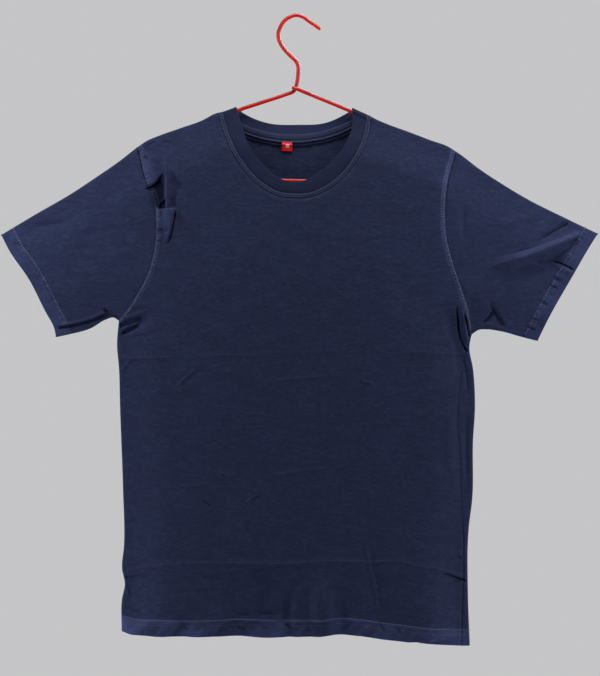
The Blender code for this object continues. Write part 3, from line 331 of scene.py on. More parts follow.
# Hollows with a sharp rim: depth at the top and bottom of the rim, width of the wall, rim
frontPits = [
    # under the flap at the right shoulder, the pocket at its foot and the fold beside them
    (1.8, 5.4, 1.6, -196.9, -237.3, -193.3, -248.1, -188.8, -262.7, -176.5, -262.4, -176, -214.3,
     -183.1, -222.4, -187.9, -229.2, -194, -233.2),
    (7, 8, 1.3, -187.3, -262.7, -176.7, -262.4, -176.4, -246.8, -181.1, -252.2, -185.7, -255.5),
    (0.2, 4.8, 2.4, -172.3, -213, -167.6, -209.6, -153.4, -231.9, -159.5, -246.8, -161.5, -263.7,
     -172.3, -263.7),
    # where the right sleeve is drawn into the armpit
    (3, 4.4, 1.5, -256, -413, -244.6, -411.9, -248.7, -403.8, -256.5, -405.1, -266.8, -411.6),
    # under the ridge across the left sleeve
    (2.6, 2, 2.2, 327.8, -336.6, 342.7, -336.3, 353.6, -331.2, 368.5, -319.5, 383.4, -308.1,
     382, -299.9, 353.6, -311.9, 331.9, -320.8, 312.9, -327.6),
    # between the two wrinkles near the left armpit
    (1.2, 2.2, 2.2, 257.4, -416.2, 266.9, -418.4, 279.6, -420.3, 270.9, -404.9, 261.5, -396.7),
]


def readPit(top, bottom, wall, *edge):
    return {"top": top / 1000.0, "bottom": bottom / 1000.0, "wall": wall / 1000.0,
            "edge": np.array(edge).reshape(-1, 2) / 1000.0}


pits = {"front": [readPit(*row) for row in frontPits], "back": []}


def easeStep(value):   # 0 to 1 with level ends
    value = np.clip(value, 0.0, 1.0)
    return value * value * (3.0 - 2.0 * value)


def curveThrough(knots, values, where):   # cubic pieces with shared slopes
    knots = np.asarray(knots, float)
    values = np.asarray(values, float)
    if knots[0] > knots[-1]:
        knots = knots[::-1]
        values = values[::-1]
    where = np.atleast_1d(np.asarray(where, float))
    steps = np.diff(knots)
    rises = (np.diff(values, axis=0).T / steps).T
    slopes = np.empty_like(values)
    slopes[0] = rises[0]
    slopes[-1] = rises[-1]
    before = steps[:-1]
    after = steps[1:]
    slopes[1:-1] = ((rises[:-1].T * after + rises[1:].T * before) / (before + after)).T
    piece = np.clip(np.searchsorted(knots, where, side="right") - 1, 0, len(steps) - 1)
    step = steps[piece]
    t = (where - knots[piece]) / step
    low = values[piece].T
    high = values[piece + 1].T
    lowSlope = slopes[piece].T * step
    highSlope = slopes[piece + 1].T * step
    curve = (low * (1 + 2 * t) * (1 - t) ** 2 + lowSlope * t * (1 - t) ** 2
             + high * t * t * (3 - 2 * t) - highSlope * t * t * (1 - t))
    return curve.T


def walked(line):   # distance walked at each point of a line
    steps = np.linalg.norm(np.diff(line, axis=0), axis=1)
    return np.concatenate([[0.0], np.cumsum(steps)])


def smoothLine(points):   # a dense line through a table's points
    points = np.asarray(points, float)
    knots = walked(points)
    return curveThrough(knots, points, np.linspace(0.0, knots[-1], 30 * len(points)))


def atDistances(line, distances):
    reach = walked(line)
    return np.stack([np.interp(distances, reach, axis) for axis in line.T], axis=1)


def spaced(line, pitch, turnAtStart=False, turnAtEnd=False):
    # points along a line, closer where the line ends at a folded edge
    length = walked(line)[-1]
    first = turnSteps[-1] if turnAtStart else 0.0
    last = length - turnSteps[-1] if turnAtEnd else length
    stations = [0.0, length]
    if turnAtStart:
        stations.extend(turnSteps)
    if turnAtEnd:
        stations.extend(length - step for step in turnSteps)
    stations.extend(np.linspace(first, last, max(2, round((last - first) / pitch) + 1)))
    stations = np.unique(np.round(stations, 7))
    return atDistances(line, stations)


def unit(rows):
    return rows / np.linalg.norm(rows, axis=1)[:, None]


def leftOf(line):   # unit vectors to the left of the walk along a line
    run = unit(np.gradient(line, axis=0))
    return np.stack([-run[:, 1], run[:, 0]], axis=1)


def shifted(line, distance):
    return line + leftOf(line) * distance


def alongEdge(edge, where, axis=0):   # points of an edge at these x, or with axis 1 at these z
    rows = np.array(edge)
    points = np.stack([where, where], axis=1)
    points[:, 1 - axis] = curveThrough(rows[:, axis], rows[:, 1 - axis], where)
    return points


def topLine(side, start, end):   # the top fold between two x
    return alongEdge(shirtCut["topEdge"][side], np.linspace(start, end, 240))


def underLine(side, start, end):
    return alongEdge(shirtCut["underarm"][side], np.linspace(start, end, 120))


def sideLine(side, start, end):   # the side fold between two z
    return alongEdge(shirtCut["sideEdge"][side], np.linspace(start, end, 300), 1)


def beside(line, points, reach):
    # points near a line: their numbers, distance to the left of it and share along it
    low = line.min(axis=0) - reach
    high = line.max(axis=0) + reach
    near = np.flatnonzero(((points > low) & (points < high)).all(axis=1))
    if len(near) == 0:
        return near, np.zeros(0), np.zeros(0)
    start = line[:-1]
    run = np.diff(line, axis=0)
    squares = np.maximum((run ** 2).sum(axis=1), 1e-16)
    distances = walked(line)
    away = np.empty(len(near))
    share = np.empty(len(near))
    for part in np.array_split(np.arange(len(near)), len(near) // 4000 + 1):
        offset = points[near[part]][:, None, :] - start[None]
        t = np.clip((offset * run[None]).sum(axis=2) / squares, 0.0, 1.0)
        gap = offset - t[:, :, None] * run[None]
        square = (gap ** 2).sum(axis=2)
        best = square.argmin(axis=1)
        row = np.arange(len(part))
        turn = run[best, 0] * offset[row, best, 1] - run[best, 1] * offset[row, best, 0]
        away[part] = np.sqrt(square[row, best]) * np.where(turn >= 0.0, 1.0, -1.0)
        length = distances[best + 1] - distances[best]
        share[part] = (distances[best] + t[row, best] * length) / distances[-1]
    return near, away, share


def foldedEdges():
    edges = []
    for side in turns:
        top = shirtCut["topEdge"][side]
        bottom = shirtCut["sideEdge"][side]
        under = shirtCut["underarm"][side]
        edges.append(topLine(side, top[0][0], top[-1][0])[::2])
        edges.append(sideLine(side, bottom[-1][1], bottom[0][1])[::3])
        edges.append(underLine(side, under[0][0], under[-1][0])[::3])
    return edges


foldLines = foldedEdges()


def foldDistance(points):
    reach = clothForm["fullnessRun"]
    nearest = np.full(len(points), reach)
    for line in foldLines:
        near, away, _ = beside(line, points, reach)
        nearest[near] = np.minimum(nearest[near], np.abs(away))
    return nearest


# The hanger: one bent wire, coated red
hangerForm = {
    "wire": 0.0026,
    "cornerRadius": 0.0255,
    "hook": mm(32.8, -16.7, 25.4, -11.6, 17.3, -6, 8.8, -0.2, 0.5, 1.9, -9.4, -1.2, -16, -6, -21.2,
        -14.1, -24, -22, -23.8, -30, -20.2, -38.6, -14.8, -46.2, -7.2, -54, 0.4, -61.7, 2.7, -67.2,
        3, -74, 2.6, -80.5, 1.6, -88.4, 0.2, -95, -1.6, -99.5, -4.8, -102.8, -9.4, -104.6),
    "right": mm(-10.1, -104.8, -16.3, -107, -24.5, -109.8, -40.8, -115, -57.1, -120.4, -73.4,
        -125.8, -80.6, -129, -97.1, -135.4, -126.5, -145.8, -156.4, -156.3, -187.7, -167.5, -196,
        -171.2),
    "left": mm(-4.4, -97.6, 0.4, -99, 5.4, -100.8, 11, -102.9, 18, -105.4, 32.6, -111.4, 49,
        -118.1, 65.3, -124.9, 76.2, -129.4, 102, -141.3, 123.8, -151, 138.7, -156.7, 153.7, -161.9,
        182.2, -172.8, 196, -178.1),
    "crossing": (-4, -5, -4.2, -2),   # y of the left arm's first points, in front of the hook
    "red": (0.25, 0.005, 0.0024),
    "deepRed": (0.175, 0.0032, 0.0018),
    "roughness": 0.36,
    "flow": ((90.0, 4.0), (0.35, 0.7)),
    "scuffs": ((420.0, 3.0), (0.45, 0.75, 0.31, 0.58)),   # spread over the roughness
    "surface": {"Specular IOR Level": 0.18, "Coat Weight": 0.06, "Coat Roughness": 0.22},
    "steel": (0.46, 0.45, 0.44),
    "darkSteel": (0.3, 0.29, 0.28),
    "sides": 20,
    "spacing": {"hook": 0.0012, "right": 0.0025, "left": 0.002},
}


def wirePoints(part):   # a part of the hanger's table in x, y, z
    line = np.insert(np.array(hangerForm[part]), 1, 0.0, axis=1)
    if part == "left":
        crossing = inMetres(hangerForm["crossing"])
        line[:len(crossing), 1] = crossing
    return line


def cornerArc(side):
    radius = hangerForm["cornerRadius"]
    before, end = wirePoints(side)[-2:]
    heading = (end - before) / np.linalg.norm(end - before)
    inward = -turns[side] * np.array([-heading[2], 0.0, heading[0]])
    centre = end + radius * inward
    start = math.atan2(*(end - centre)[[2, 0]])
    stop = -math.pi / 2.0 if side == "left" else 1.5 * math.pi
    angles = np.linspace(start, stop, 40)[1:]
    return centre + radius * np.stack([np.cos(angles), 0.0 * angles, np.sin(angles)], axis=1)


def evenPath(part):
    line = smoothLine(wirePoints(part))
    count = max(2, round(walked(line)[-1] / hangerForm["spacing"][part]) + 1)
    return atDistances(line, np.linspace(0.0, walked(line)[-1], count))


hookPath = evenPath("hook")
rightArm = evenPath("right")
leftArm = evenPath("left")
rightCorner = cornerArc("right")
leftCorner = cornerArc("left")
bar = np.linspace(rightCorner[-1], leftCorner[-1], 140)[1:-1]
framePath = np.concatenate([rightArm, rightCorner, bar, leftCorner[::-1], leftArm[::-1]])
wireRoute = framePath[:, [0, 2]]


def ripple(points, sizeX, sizeZ, seed):   # soft uneven waves from -1 to 1
    cells = points / np.array([sizeX, sizeZ]) + 512.0
    corner = np.floor(cells).astype(int)
    t = cells - corner
    t = t * t * t * (t * (6.0 * t - 15.0) + 10.0)
    levels = np.random.default_rng(seed).uniform(-1.0, 1.0, (128, 128))
    i = corner % 128
    j = (corner + 1) % 128
    low = levels[i[:, 0], i[:, 1]] * (1 - t[:, 0]) + levels[j[:, 0], i[:, 1]] * t[:, 0]
    high = levels[i[:, 0], j[:, 1]] * (1 - t[:, 0]) + levels[j[:, 0], j[:, 1]] * t[:, 0]
    return low * (1 - t[:, 1]) + high * t[:, 1]


def bump(value):   # 1 in the middle, 0 from -1 and 1 on
    return np.where(np.abs(value) < 1.0, (1.0 - np.minimum(value ** 2, 1.0)) ** 2, 0.0)


def creaseSection(value, form):   # 1 on the crease's line, 0 from -1 and 1 on
    if form == "soft":
        return bump(value)
    value = np.minimum(np.abs(value), 1.0)
    return 1.0 - value if form == "flap" else 1.0 - value ** 4


def insideOutline(points, outline):
    inside = np.zeros(len(points), bool)
    x, z = points.T
    for (x0, z0), (x1, z1) in zip(outline, np.roll(outline, -1, axis=0)):
        if z0 != z1:
            level = (z0 > z) != (z1 > z)
            inside ^= level & (x < x0 + (z - z0) * (x1 - x0) / (z1 - z0))
    return inside


seamDetail = {
    # stitch rows: distance from the edge or seam, share of the full stitch
    "hemRows": ((0.014, 0.55), (0.0206, 1.35)),
    "cuffRows": ((0.0122, 0.45), (0.018, 1.25)),
    "armholeRise": 0.0009,
    "armholeRows": ((0.001, 1.0), (0.0056, 1.2)),     # on the body's side of the seam
    "neckRows": ((0.0013, 0.95), (0.005, 1.15)),
    "rowWidth": 0.0011,
    "rowDip": 0.0003,
    "tunnelRise": 0.00045,              # cloth that stands up between two rows
    "rungs": 0.003,                     # spacing of the puckers across a sewn band
    "rungRise": 0.00026,
    "pinchSpacing": 0.0118,             # dents across the cuffs' rows of stitches
    "pinchDepth": {"right": 0.0006, "left": 0.0017},
    "ropeRise": 0.002,                  # slanting ridges that twist the hem's band
    "ropeSlant": 0.8,
    "ropeBand": (0.01, 0.0118),         # middle of a band, half its width
    "hemTickBand": (0.0214, 0.003),
    "pinchBand": (0.0152, 0.0078),
    "shoulderBand": (0.0098, 0.0042),   # cloth drawn in beside the armhole
    "sewnLengths": {"hem": 0.474, "cuff": 0.16, "armhole": 0.26, "neck": 0.26},
    "valleyWidth": 0.0014,
    "valleyDip": 0.0003,
    "neckGroove": 0.0016,               # the deeper groove under the collar's stitches
    "sideDips": (0.00015, 0.00055),     # the left side seam, and what the skirt adds to it
}


armholeLines = {side: smoothLine(shirtCut["armhole"][side]) for side in turns}
neckLines = {face: smoothLine(shirtCut["neckSeam"][face]) for face in outward}
cuffLines = {side: smoothLine(shirtCut["cuffEdge"][side]) for side in turns}
hemLine = smoothLine(shirtCut["hemEdge"])
leftSeamLine = smoothLine(shirtCut["leftSideSeam"])


def sewnRows(inside, rows):   # the rows of stitches pull in and the cloth between stands up
    dip = seamDetail["rowDip"]
    width = seamDetail["rowWidth"]
    total = -dip * sum(share * bump((inside - row) / width) for row, share in rows)
    middle = (rows[0][0] + rows[1][0]) / 2.0
    half = (rows[1][0] - rows[0][0]) / 2.0 + 0.0006
    return total + seamDetail["tunnelRise"] * bump((inside - middle) / half)


def rungs(share, part, seed, spacing=None):   # short puckers across a sewn band
    reach = share * seamDetail["sewnLengths"][part]
    along = reach / (spacing or seamDetail["rungs"])
    uneven = ripple(np.stack([reach, share * 0.0], axis=1), 0.011, 1.0, seed)
    return np.cos(2.0 * math.pi * along + 1.6 * uneven) * (0.65 + 0.6 * uneven)


def acrossBand(inside, band):   # 1 along the middle of a band, 0 at its sides
    middle, half = band
    return bump((inside - middle) / half)


def slanted(points, inside):   # the hem's puckers slant
    return np.stack([points[:, 0] - seamDetail["ropeSlant"] * inside, inside], axis=1)


def bandAmount(inside, width):   # 1 on a turned-up band, 0 above it
    return easeStep((width - inside) / 0.001)


def bandShare(points):   # where the cloth is doubled
    share = np.zeros(len(points))
    near, away, _ = beside(hemLine, points, 0.03)
    share[near] = bandAmount(np.abs(away), clothForm["hemBand"])
    for line in cuffLines.values():
        near, away, _ = beside(line, points, 0.026)
        share[near] = np.maximum(share[near], bandAmount(np.abs(away), clothForm["cuffBand"]))
    return share


def seamRelief(face, points):
    relief = np.zeros(len(points))
    detail = seamDetail
    valley = detail["valleyWidth"]
    rise = detail["rungRise"]
    near, away, share = beside(hemLine, points, 0.032)
    inside = np.abs(away)
    relief[near] += sewnRows(inside, detail["hemRows"])
    slant = slanted(points[near], inside)
    rope = ripple(slant, 0.0062, 0.03, 7) + 0.6 * ripple(slant, 0.012, 0.04, 17)
    uneven = 0.55 + 0.75 * ripple(points[near], 0.036, 0.2, 8)
    relief[near] += detail["ropeRise"] * rope * uneven * acrossBand(inside, detail["ropeBand"])
    tick = rungs(share, "hem", 12) * acrossBand(inside, detail["hemTickBand"])
    relief[near] += 0.6 * rise * tick
    for side, turn in turns.items():
        near, away, share = beside(cuffLines[side], points, 0.028)
        inside = np.abs(away)
        relief[near] += sewnRows(inside, detail["cuffRows"])
        wave = rungs(share, "cuff", 13, detail["pinchSpacing"])
        pinch = np.clip(1.8 * wave, 0.0, 1.2) ** 3
        relief[near] -= detail["pinchDepth"][side] * pinch * acrossBand(inside, detail["pinchBand"])
        near, away, share = beside(armholeLines[side], points, 0.012)
        onBody = turn * away
        relief[near] += np.where(onBody > 0.0, sewnRows(onBody, detail["armholeRows"]), 0.0)
        relief[near] += detail["armholeRise"] * acrossBand(onBody, (0.0032, 0.0034))
        relief[near] -= detail["valleyDip"] * bump(onBody / valley)
        high = easeStep((points[near, 1] + 0.34) / 0.1)
        relief[near] -= (0.0003 + 0.0008 * high) * acrossBand(onBody, detail["shoulderBand"])
        relief[near] += 1.7 * rise * rungs(share, "armhole", 14) * acrossBand(onBody, (0.0033, 0.0046))
        pull = ripple(points[near], 0.006, 0.0048, 11)
        relief[near] += 0.00022 * pull * acrossBand(onBody, (0.002, 0.0085))
    near, away, share = beside(neckLines[face], points, 0.01)
    onBody = -away
    relief[near] += np.where(onBody > 0.0, sewnRows(onBody, detail["neckRows"]), 0.0)
    relief[near] -= detail["valleyDip"] * bump(onBody / valley)
    relief[near] -= detail["neckGroove"] * acrossBand(onBody, (0.0066, 0.0013))
    relief[near] += 0.6 * rise * rungs(share, "neck", 15) * acrossBand(onBody, (0.0035, 0.0032))
    if face == "front":
        near, away, _ = beside(leftSeamLine, points, 0.008)
        dip, more = detail["sideDips"]
        lower = easeStep((-0.66 - points[near, 1]) / 0.06)
        relief[near] -= (dip + more * lower) * bump(away / 0.0024)
    return relief


def foldHeight(face, points):   # the large folds
    total = np.zeros(len(points))
    ends = clothForm["foldEnds"]
    for row in largeFolds[face]:
        x0, z0, x1, z1, halfWidth, height = inMetres(row)
        run = np.array([x1 - x0, z1 - z0])
        length = np.hypot(*run)
        offset = points - np.array([x0, z0])
        t = (offset @ run) / length ** 2
        across = (offset[:, 0] * run[1] - offset[:, 1] * run[0]) / length / halfWidth
        total += height * easeStep(t / ends) * easeStep((1.0 - t) / ends) * bump(across)
    return total


def hemFlare(points):
    flare = np.zeros(len(points))
    run = clothForm["flareRun"]
    near, away, _ = beside(hemLine, points, run)
    flare[near] = clothForm["hemFlare"] * (1.0 - np.minimum(np.abs(away) / run, 1.0)) ** 1.5
    return flare


def creaseHeight(face, points):
    total = np.zeros(len(points))
    for crease in creases[face]:
        line = smoothLine(crease["line"])
        reach = max(crease["left"], crease["right"])
        near, away, share = beside(line[::4], points, reach)
        width = np.where(away > 0.0, crease["left"], crease["right"])
        start, end = crease["fade"]
        along = easeStep(share / start) * easeStep((1.0 - share) / end)
        total[near] += crease["rise"] * along * creaseSection(away / width, crease["form"])
    return total


def pitHeight(face, points):
    total = np.zeros(len(points))
    for pit in pits[face]:
        edge = pit["edge"]
        rim = np.concatenate([edge, edge[:1]])
        near, away, _ = beside(rim, points, 0.001)
        inside = insideOutline(points[near], edge)
        low, high = edge[:, 1].min(), edge[:, 1].max()
        level = (points[near, 1] - low) / (high - low)
        deep = pit["bottom"] + (pit["top"] - pit["bottom"]) * level
        total[near] -= inside * deep * easeStep(np.abs(away) / pit["wall"])
    return total


def softWaves(face, points):   # the slight unevenness of cloth that hangs free
    seed = 20 if face == "front" else 40
    return sum(height * ripple(points, width, tall, seed + k)
               for k, (height, width, tall) in enumerate(clothForm["waves"]))


def wireRoom(points, tucked=False):   # the depth that clears the hanger inside the shirt
    room = np.zeros(len(points))
    layer = clothForm["jersey"] + clothForm["clearance"]
    radius = hangerForm["wire"] + clothForm["clearance"]
    near, away, _ = beside(wireRoute, points, radius)
    layers = np.full(len(near), layer)
    if not tucked:   # a sleeve's edge lies between the wire and the body's cloth
        for line in armholeLines.values():
            close, gap, _ = beside(line, points[near], 0.009)
            layers[close] += layer * (1.0 - easeStep((np.abs(gap) - 0.0045) / 0.004))
    room[near] = layers + np.sqrt(np.maximum(radius ** 2 - away ** 2, 0.0))
    return room


def clothDepth(face, points, onFold=None):   # how far the outer face stands off the middle
    edge = foldDistance(points)
    if onFold is not None:
        edge = np.where(onFold, 0.0, edge)
    radius = clothForm["foldRadius"]
    turn = np.minimum(edge, radius)
    depth = clothForm["foldLip"] + np.sqrt(turn * (2.0 * radius - turn))
    start, end = clothForm["bodyToSleeve"]
    share = easeStep((np.abs(points[:, 0]) - start) / (end - start))
    body = clothForm["bodyFullness"][face]
    sleeve = clothForm["sleeveFullness"][face]
    depth += (body + (sleeve - body) * share) * easeStep(edge / clothForm["fullnessRun"])
    depth += (foldHeight(face, points) + hemFlare(points)) * easeStep(edge / (4.0 * radius))
    depth += softWaves(face, points) * easeStep(edge / (2.0 * radius))
    fine = creaseHeight(face, points) + pitHeight(face, points)
    depth += fine * easeStep(edge / clothForm["creaseRun"])
    depth += seamRelief(face, points) * easeStep(edge / clothForm["seamRun"])
    onBand = easeStep(edge / clothForm["bandRun"])
    depth += clothForm["bandRise"] * bandShare(points) * onBand
    least = np.maximum(clothForm["leastDepth"], wireRoom(points)) * onBand
    return np.maximum(depth, least)


def placed(face, points, depth):
    return np.stack([points[:, 0], outward[face] * depth, points[:, 1]], axis=1)


def clothNormal(face, points):
    step = 0.0003
    slopeX = clothDepth(face, points + [step, 0.0]) - clothDepth(face, points - [step, 0.0])
    slopeZ = clothDepth(face, points + [0.0, step]) - clothDepth(face, points - [0.0, step])
    normal = np.stack([-slopeX / (2 * step), np.full(len(points), outward[face]),
                       -slopeZ / (2 * step)], axis=1)
    return unit(normal)


# Wear and painted light: how far the cloth has paled with wear along its seams, and how much painted
# highlight it carries, from 0 to 1
wearForm = {
    "armhole": 0.95,
    "hem": 0.3,
    "hemRow": 0.85,
    "cuff": 0.26,
    "cuffRow": 0.65,
    "neck": 0.12,
    # unevenness along each: level, swing, width and height of a patch, seed
    "patches": {"armhole": (0.8, 0.45, 0.02, 0.013, 65), "hem": (0.75, 0.6, 0.045, 0.03, 61),
                "hemRow": (0.72, 0.5, 0.014, 0.2, 62), "cuff": (0.8, 0.6, 0.03, 0.03, 63),
                "cuffRow": (0.6, 0.6, 0.012, 0.012, 64)},
    # more of it along an armhole: from this height, over this much, how much
    "heights": {"right": (-0.24, -0.04, 0.3), "left": (-0.4, 0.14, 1.0)},
    "corner": (-0.1, 0.1, 1.8),   # and at the hem's right corner: from this x
    "lowCuff": (-0.345, 0.07, 0.8),  # and low on a cuff: from this height
}
# Painted highlights: the wear layer is lightened along the tops of the pinch's two flaps and the left
# sleeve's ridge, where light falls on these raised folds
paintedHighlights = [   # amount, half width and line: the pinch's two flaps, the left sleeve's ridge
    (0.48, 0.0085, mm(-205.5, -188.5, -193, -227.5)),
    (0.4, 0.0105, mm(-175.5, -267, -180, -290)),
    (0.4, 0.0062, mm(300, -326.2, 351.5, -307.2, 383, -293.8)),
]


# The share of the wear layer: real fading along the seams, plus painted highlights on raised folds and
# painted light and shade slanting across the hem's band
def wearAndHighlightShare(face, points):
    worn = np.zeros(len(points))

    def wearAndHighlightAt(near, amount):
        worn[near] = np.maximum(worn[near], amount)

    def patchy(kind):
        level, swing, width, tall, seed = wearForm["patches"][kind]
        return level + swing * ripple(points[near], width, tall, seed)

    def sewnBand(kind, inside, half):   # along the upper row of stitches
        row = seamDetail[kind + "s"][1][0]
        wearAndHighlightAt(near, wearForm[kind] * patchy(kind) * acrossBand(inside, (row, half)))

    for side, turn in turns.items():
        near, away, _ = beside(armholeLines[side], points, 0.012)
        start, run, amount = wearForm["heights"][side]
        high = amount * easeStep((points[near, 1] - start) / run)
        band = acrossBand(turn * away, (0.0036, 0.006))
        wearAndHighlightAt(near, wearForm["armhole"] * (0.42 + 0.58 * high) * patchy("armhole") * band)
    near, away, _ = beside(hemLine, points, 0.03)
    inside = np.abs(away)
    # The slanting streaks lighten and darken the hem's band along its twisted puckers: painted light
    # and shade, laid over the band's uneven real fading
    uneven = patchy("hem") + 0.9 * ripple(slanted(points[near], inside), 0.0075, 0.05, 7)
    band = wearForm["hem"] * bandAmount(inside, clothForm["hemBand"])
    start, run, amount = wearForm["corner"]
    corner = easeStep((start - points[near, 0]) / run)
    wearAndHighlightAt(near, band * uneven * (1.0 + amount * corner))
    sewnBand("hemRow", inside, 0.002)
    for line in cuffLines.values():
        near, away, _ = beside(line, points, 0.026)
        inside = np.abs(away)
        start, run, amount = wearForm["lowCuff"]
        low = 1.0 + amount * easeStep((start - points[near, 1]) / run)
        band = bandAmount(inside, clothForm["cuffBand"])
        wearAndHighlightAt(near, wearForm["cuff"] * low * patchy("cuff") * band)
        sewnBand("cuffRow", inside, 0.0018)
    near, away, _ = beside(neckLines[face], points, 0.01)
    wearAndHighlightAt(near, wearForm["neck"] * acrossBand(-away, (0.0034, 0.0034)))
    if face == "front":
        # painted highlights along the pinch's flaps and the left sleeve's ridge
        for amount, half, line in paintedHighlights:
            near, away, _ = beside(np.array(line), points, half)
            wearAndHighlightAt(near, amount * bump(away / half))
    return np.clip(worn, 0.0, 1.0)


# The "wear" layer holds real fading along seams together with painted highlights
def layWearAndHighlight(piece, worn):
    layer = piece.data.attributes.new("wear", "FLOAT", "POINT")
    layer.data.foreach_set("value", worn.astype(np.float32))


def paintWearAndHighlights(piece):
    spots = np.empty(len(piece.data.vertices) * 3)
    piece.data.vertices.foreach_get("co", spots)
    spots = spots.reshape(-1, 3)
    flat = np.ascontiguousarray(spots[:, [0, 2]])
    layWearAndHighlight(piece, np.where(spots[:, 1] < 0.0, wearAndHighlightShare("front", flat), wearAndHighlightShare("back", flat)))


# Laying out points on a cut piece. A board marks the ground that points have taken.
def newBoard(outline):
    low = outline.min(axis=0) - 0.006
    cell = 0.0004
    size = np.ceil((outline.max(axis=0) + 0.006 - low) / cell).astype(int) + 1
    return {"low": low, "cell": cell, "taken": np.zeros(size, bool)}


def boardCells(board, points):
    cells = ((points - board["low"]) / board["cell"]).astype(int)
    return np.clip(cells, 0, np.array(board["taken"].shape) - 1)


def take(board, points, radius):
    cells = boardCells(board, points)
    reach = radius / board["cell"]
    whole = int(reach)
    last = np.array(board["taken"].shape) - 1
    for i in range(-whole, whole + 1):
        for j in range(-whole, whole + 1):
            if i * i + j * j <= reach * reach:
                spot = np.clip(cells + [i, j], 0, last)
                board["taken"][spot[:, 0], spot[:, 1]] = True


def stillFree(board, points):
    cells = boardCells(board, points)
    return points[~board["taken"][cells[:, 0], cells[:, 1]]]


# Rows that the mesh follows beside those of the stitches: offsets laid before them, offsets
# laid after them, spacing of the points along each row
meshRows = {
    "hemRows": ((0.0008, 0.002, 0.008), (0.005, 0.0105, 0.0173, 0.0222, 0.0245), 0.0016),
    "cuffRows": ((0.0008, 0.002, 0.007), (0.0151, 0.02, 0.0215), 0.0011),
    "armholeRows": ((), (-0.0009, -0.002, -0.0034, 0.0033, 0.0078), 0.0011),
    "neckRows": ((), (0.0031, 0.0066, 0.0073, 0.008), 0.0012),
    "sideSeam": (0.0008, 0.0017, 0.0028, 0.0042, 0.006),
    "besideStitches": (-0.001, 0.0, 0.001),
    "besideCreases": {"soft": (0.3, 0.62, 1.0), "flap": (0.5, 1.0), "slit": (0.6, 1.0)},
    "narrow": 0.0065,   # a wider side of a crease gets the three rows below in place of those
    "besideWide": (0.0012, 0.0026, 0.0046),
    "acrossPits": (0.0, 0.33, 0.66, 1.0),
}


def seamRows(kind, lines):
    before, after, along = meshRows[kind]
    sewn = [row + step for row, _ in seamDetail[kind] for step in meshRows["besideStitches"]]
    offsets = [*before, *sewn, *after]
    return [(line, [turn * offset for offset in offsets], along) for line, turn in lines]


def detailRows(face):
    # lines that the mesh follows closely: line, offsets to its left, spacing along it
    rows = seamRows("hemRows", [(hemLine, 1.0)])
    for kind, lines in (("cuffRows", cuffLines), ("armholeRows", armholeLines)):
        rows += seamRows(kind, [(lines[side], turn) for side, turn in turns.items()])
    rows += seamRows("neckRows", [(neckLines[face], -1.0)])
    if face == "front":
        side = meshRows["sideSeam"]
        both = [*side, *(-step for step in side)]
        rows.append((leftSeamLine, both, clothForm["edgePitch"]))
    for crease in creases[face]:
        narrow = min(crease["left"], crease["right"])
        if narrow < meshRows["narrow"]:
            offsets = [0.0]
            for width, sign in ((crease["left"], 1.0), (crease["right"], -1.0)):
                steps = meshRows["besideWide"]
                if width < meshRows["narrow"]:
                    steps = [width * part for part in meshRows["besideCreases"][crease["form"]]]
                offsets.extend(sign * step for step in steps)
            along = float(np.clip(narrow * 0.6, 0.0011, 0.0024))
            rows.append((smoothLine(crease["line"]), offsets, along))
    for pit in pits[face]:
        rim = np.concatenate([pit["edge"], pit["edge"][:1]])
        rim = atDistances(rim, np.linspace(0.0, walked(rim)[-1], 300))
        rows.append((rim, [pit["wall"] * part for part in meshRows["acrossPits"]], 0.0011))
    return rows


def layPoints(face, outline, foldRuns):
    board = newBoard(outline)
    dots = [outline]
    take(board, outline, 0.0008)
    for run in foldRuns:
        edge = outline[run]
        inward = leftOf(edge)
        for step in turnSteps:
            row = (edge + inward * step)[1:-1]
            row = row[foldDistance(row) > 0.93 * step]
            row = row[insideOutline(row, outline)]
            dots.append(row)
            take(board, row, 0.0006)
    for line, offsets, along in detailRows(face):
        stations = spaced(line, along)
        side = leftOf(stations)
        rows = np.concatenate([stations + side * offset for offset in offsets])
        rows = stillFree(board, rows[insideOutline(rows, outline)])
        if len(rows):
            dots.append(rows)
            take(board, rows, 0.0005)
    pitch = clothForm["pitch"]
    low = outline.min(axis=0)
    high = outline.max(axis=0)
    across = np.arange(low[0], high[0], pitch)
    up = np.arange(low[1], high[1], pitch * 0.866)
    x, z = np.meshgrid(across, up)
    x[1::2] += pitch / 2.0
    lattice = np.stack([x.ravel(), z.ravel()], axis=1)
    plain = newBoard(outline)
    take(plain, np.concatenate(dots), 0.58 * pitch)
    lattice = stillFree(plain, lattice[insideOutline(lattice, outline)])
    return np.concatenate(dots + [lattice])


def cutRegion(face, outline, foldRuns):
    # triangles over an outline, and where each of the outline's points went
    points = layPoints(face, outline, foldRuns)
    spots = [Vector((x, z)) for x, z in points * 1000.0]
    border = list(range(len(outline)))
    made = delaunay_2d_cdt(spots, [], [border], 1, 1e-4)
    flat = np.array([tuple(spot) for spot in made[0]]) / 1000.0
    triangles = []
    for corners in made[2]:
        for k in range(1, len(corners) - 1):
            triangles.append((corners[0], corners[k], corners[k + 1]))
    places = {}
    for index, sources in enumerate(made[3]):
        for source in sources:
            if source < len(outline):
                places[source] = index
                flat[index] = outline[source]
    return flat, np.array(triangles), places


def outlineFrom(parts):
    # closed outline from named lines that follow on from each other, and each name's run
    points = []
    runs = {}
    for name, line in parts:
        first = len(points)
        points.extend(line[:-1])
        runs[name] = list(range(first, first + len(line)))
    outline = np.array(points)
    for run in runs.values():
        run[-1] %= len(outline)
    return outline, runs


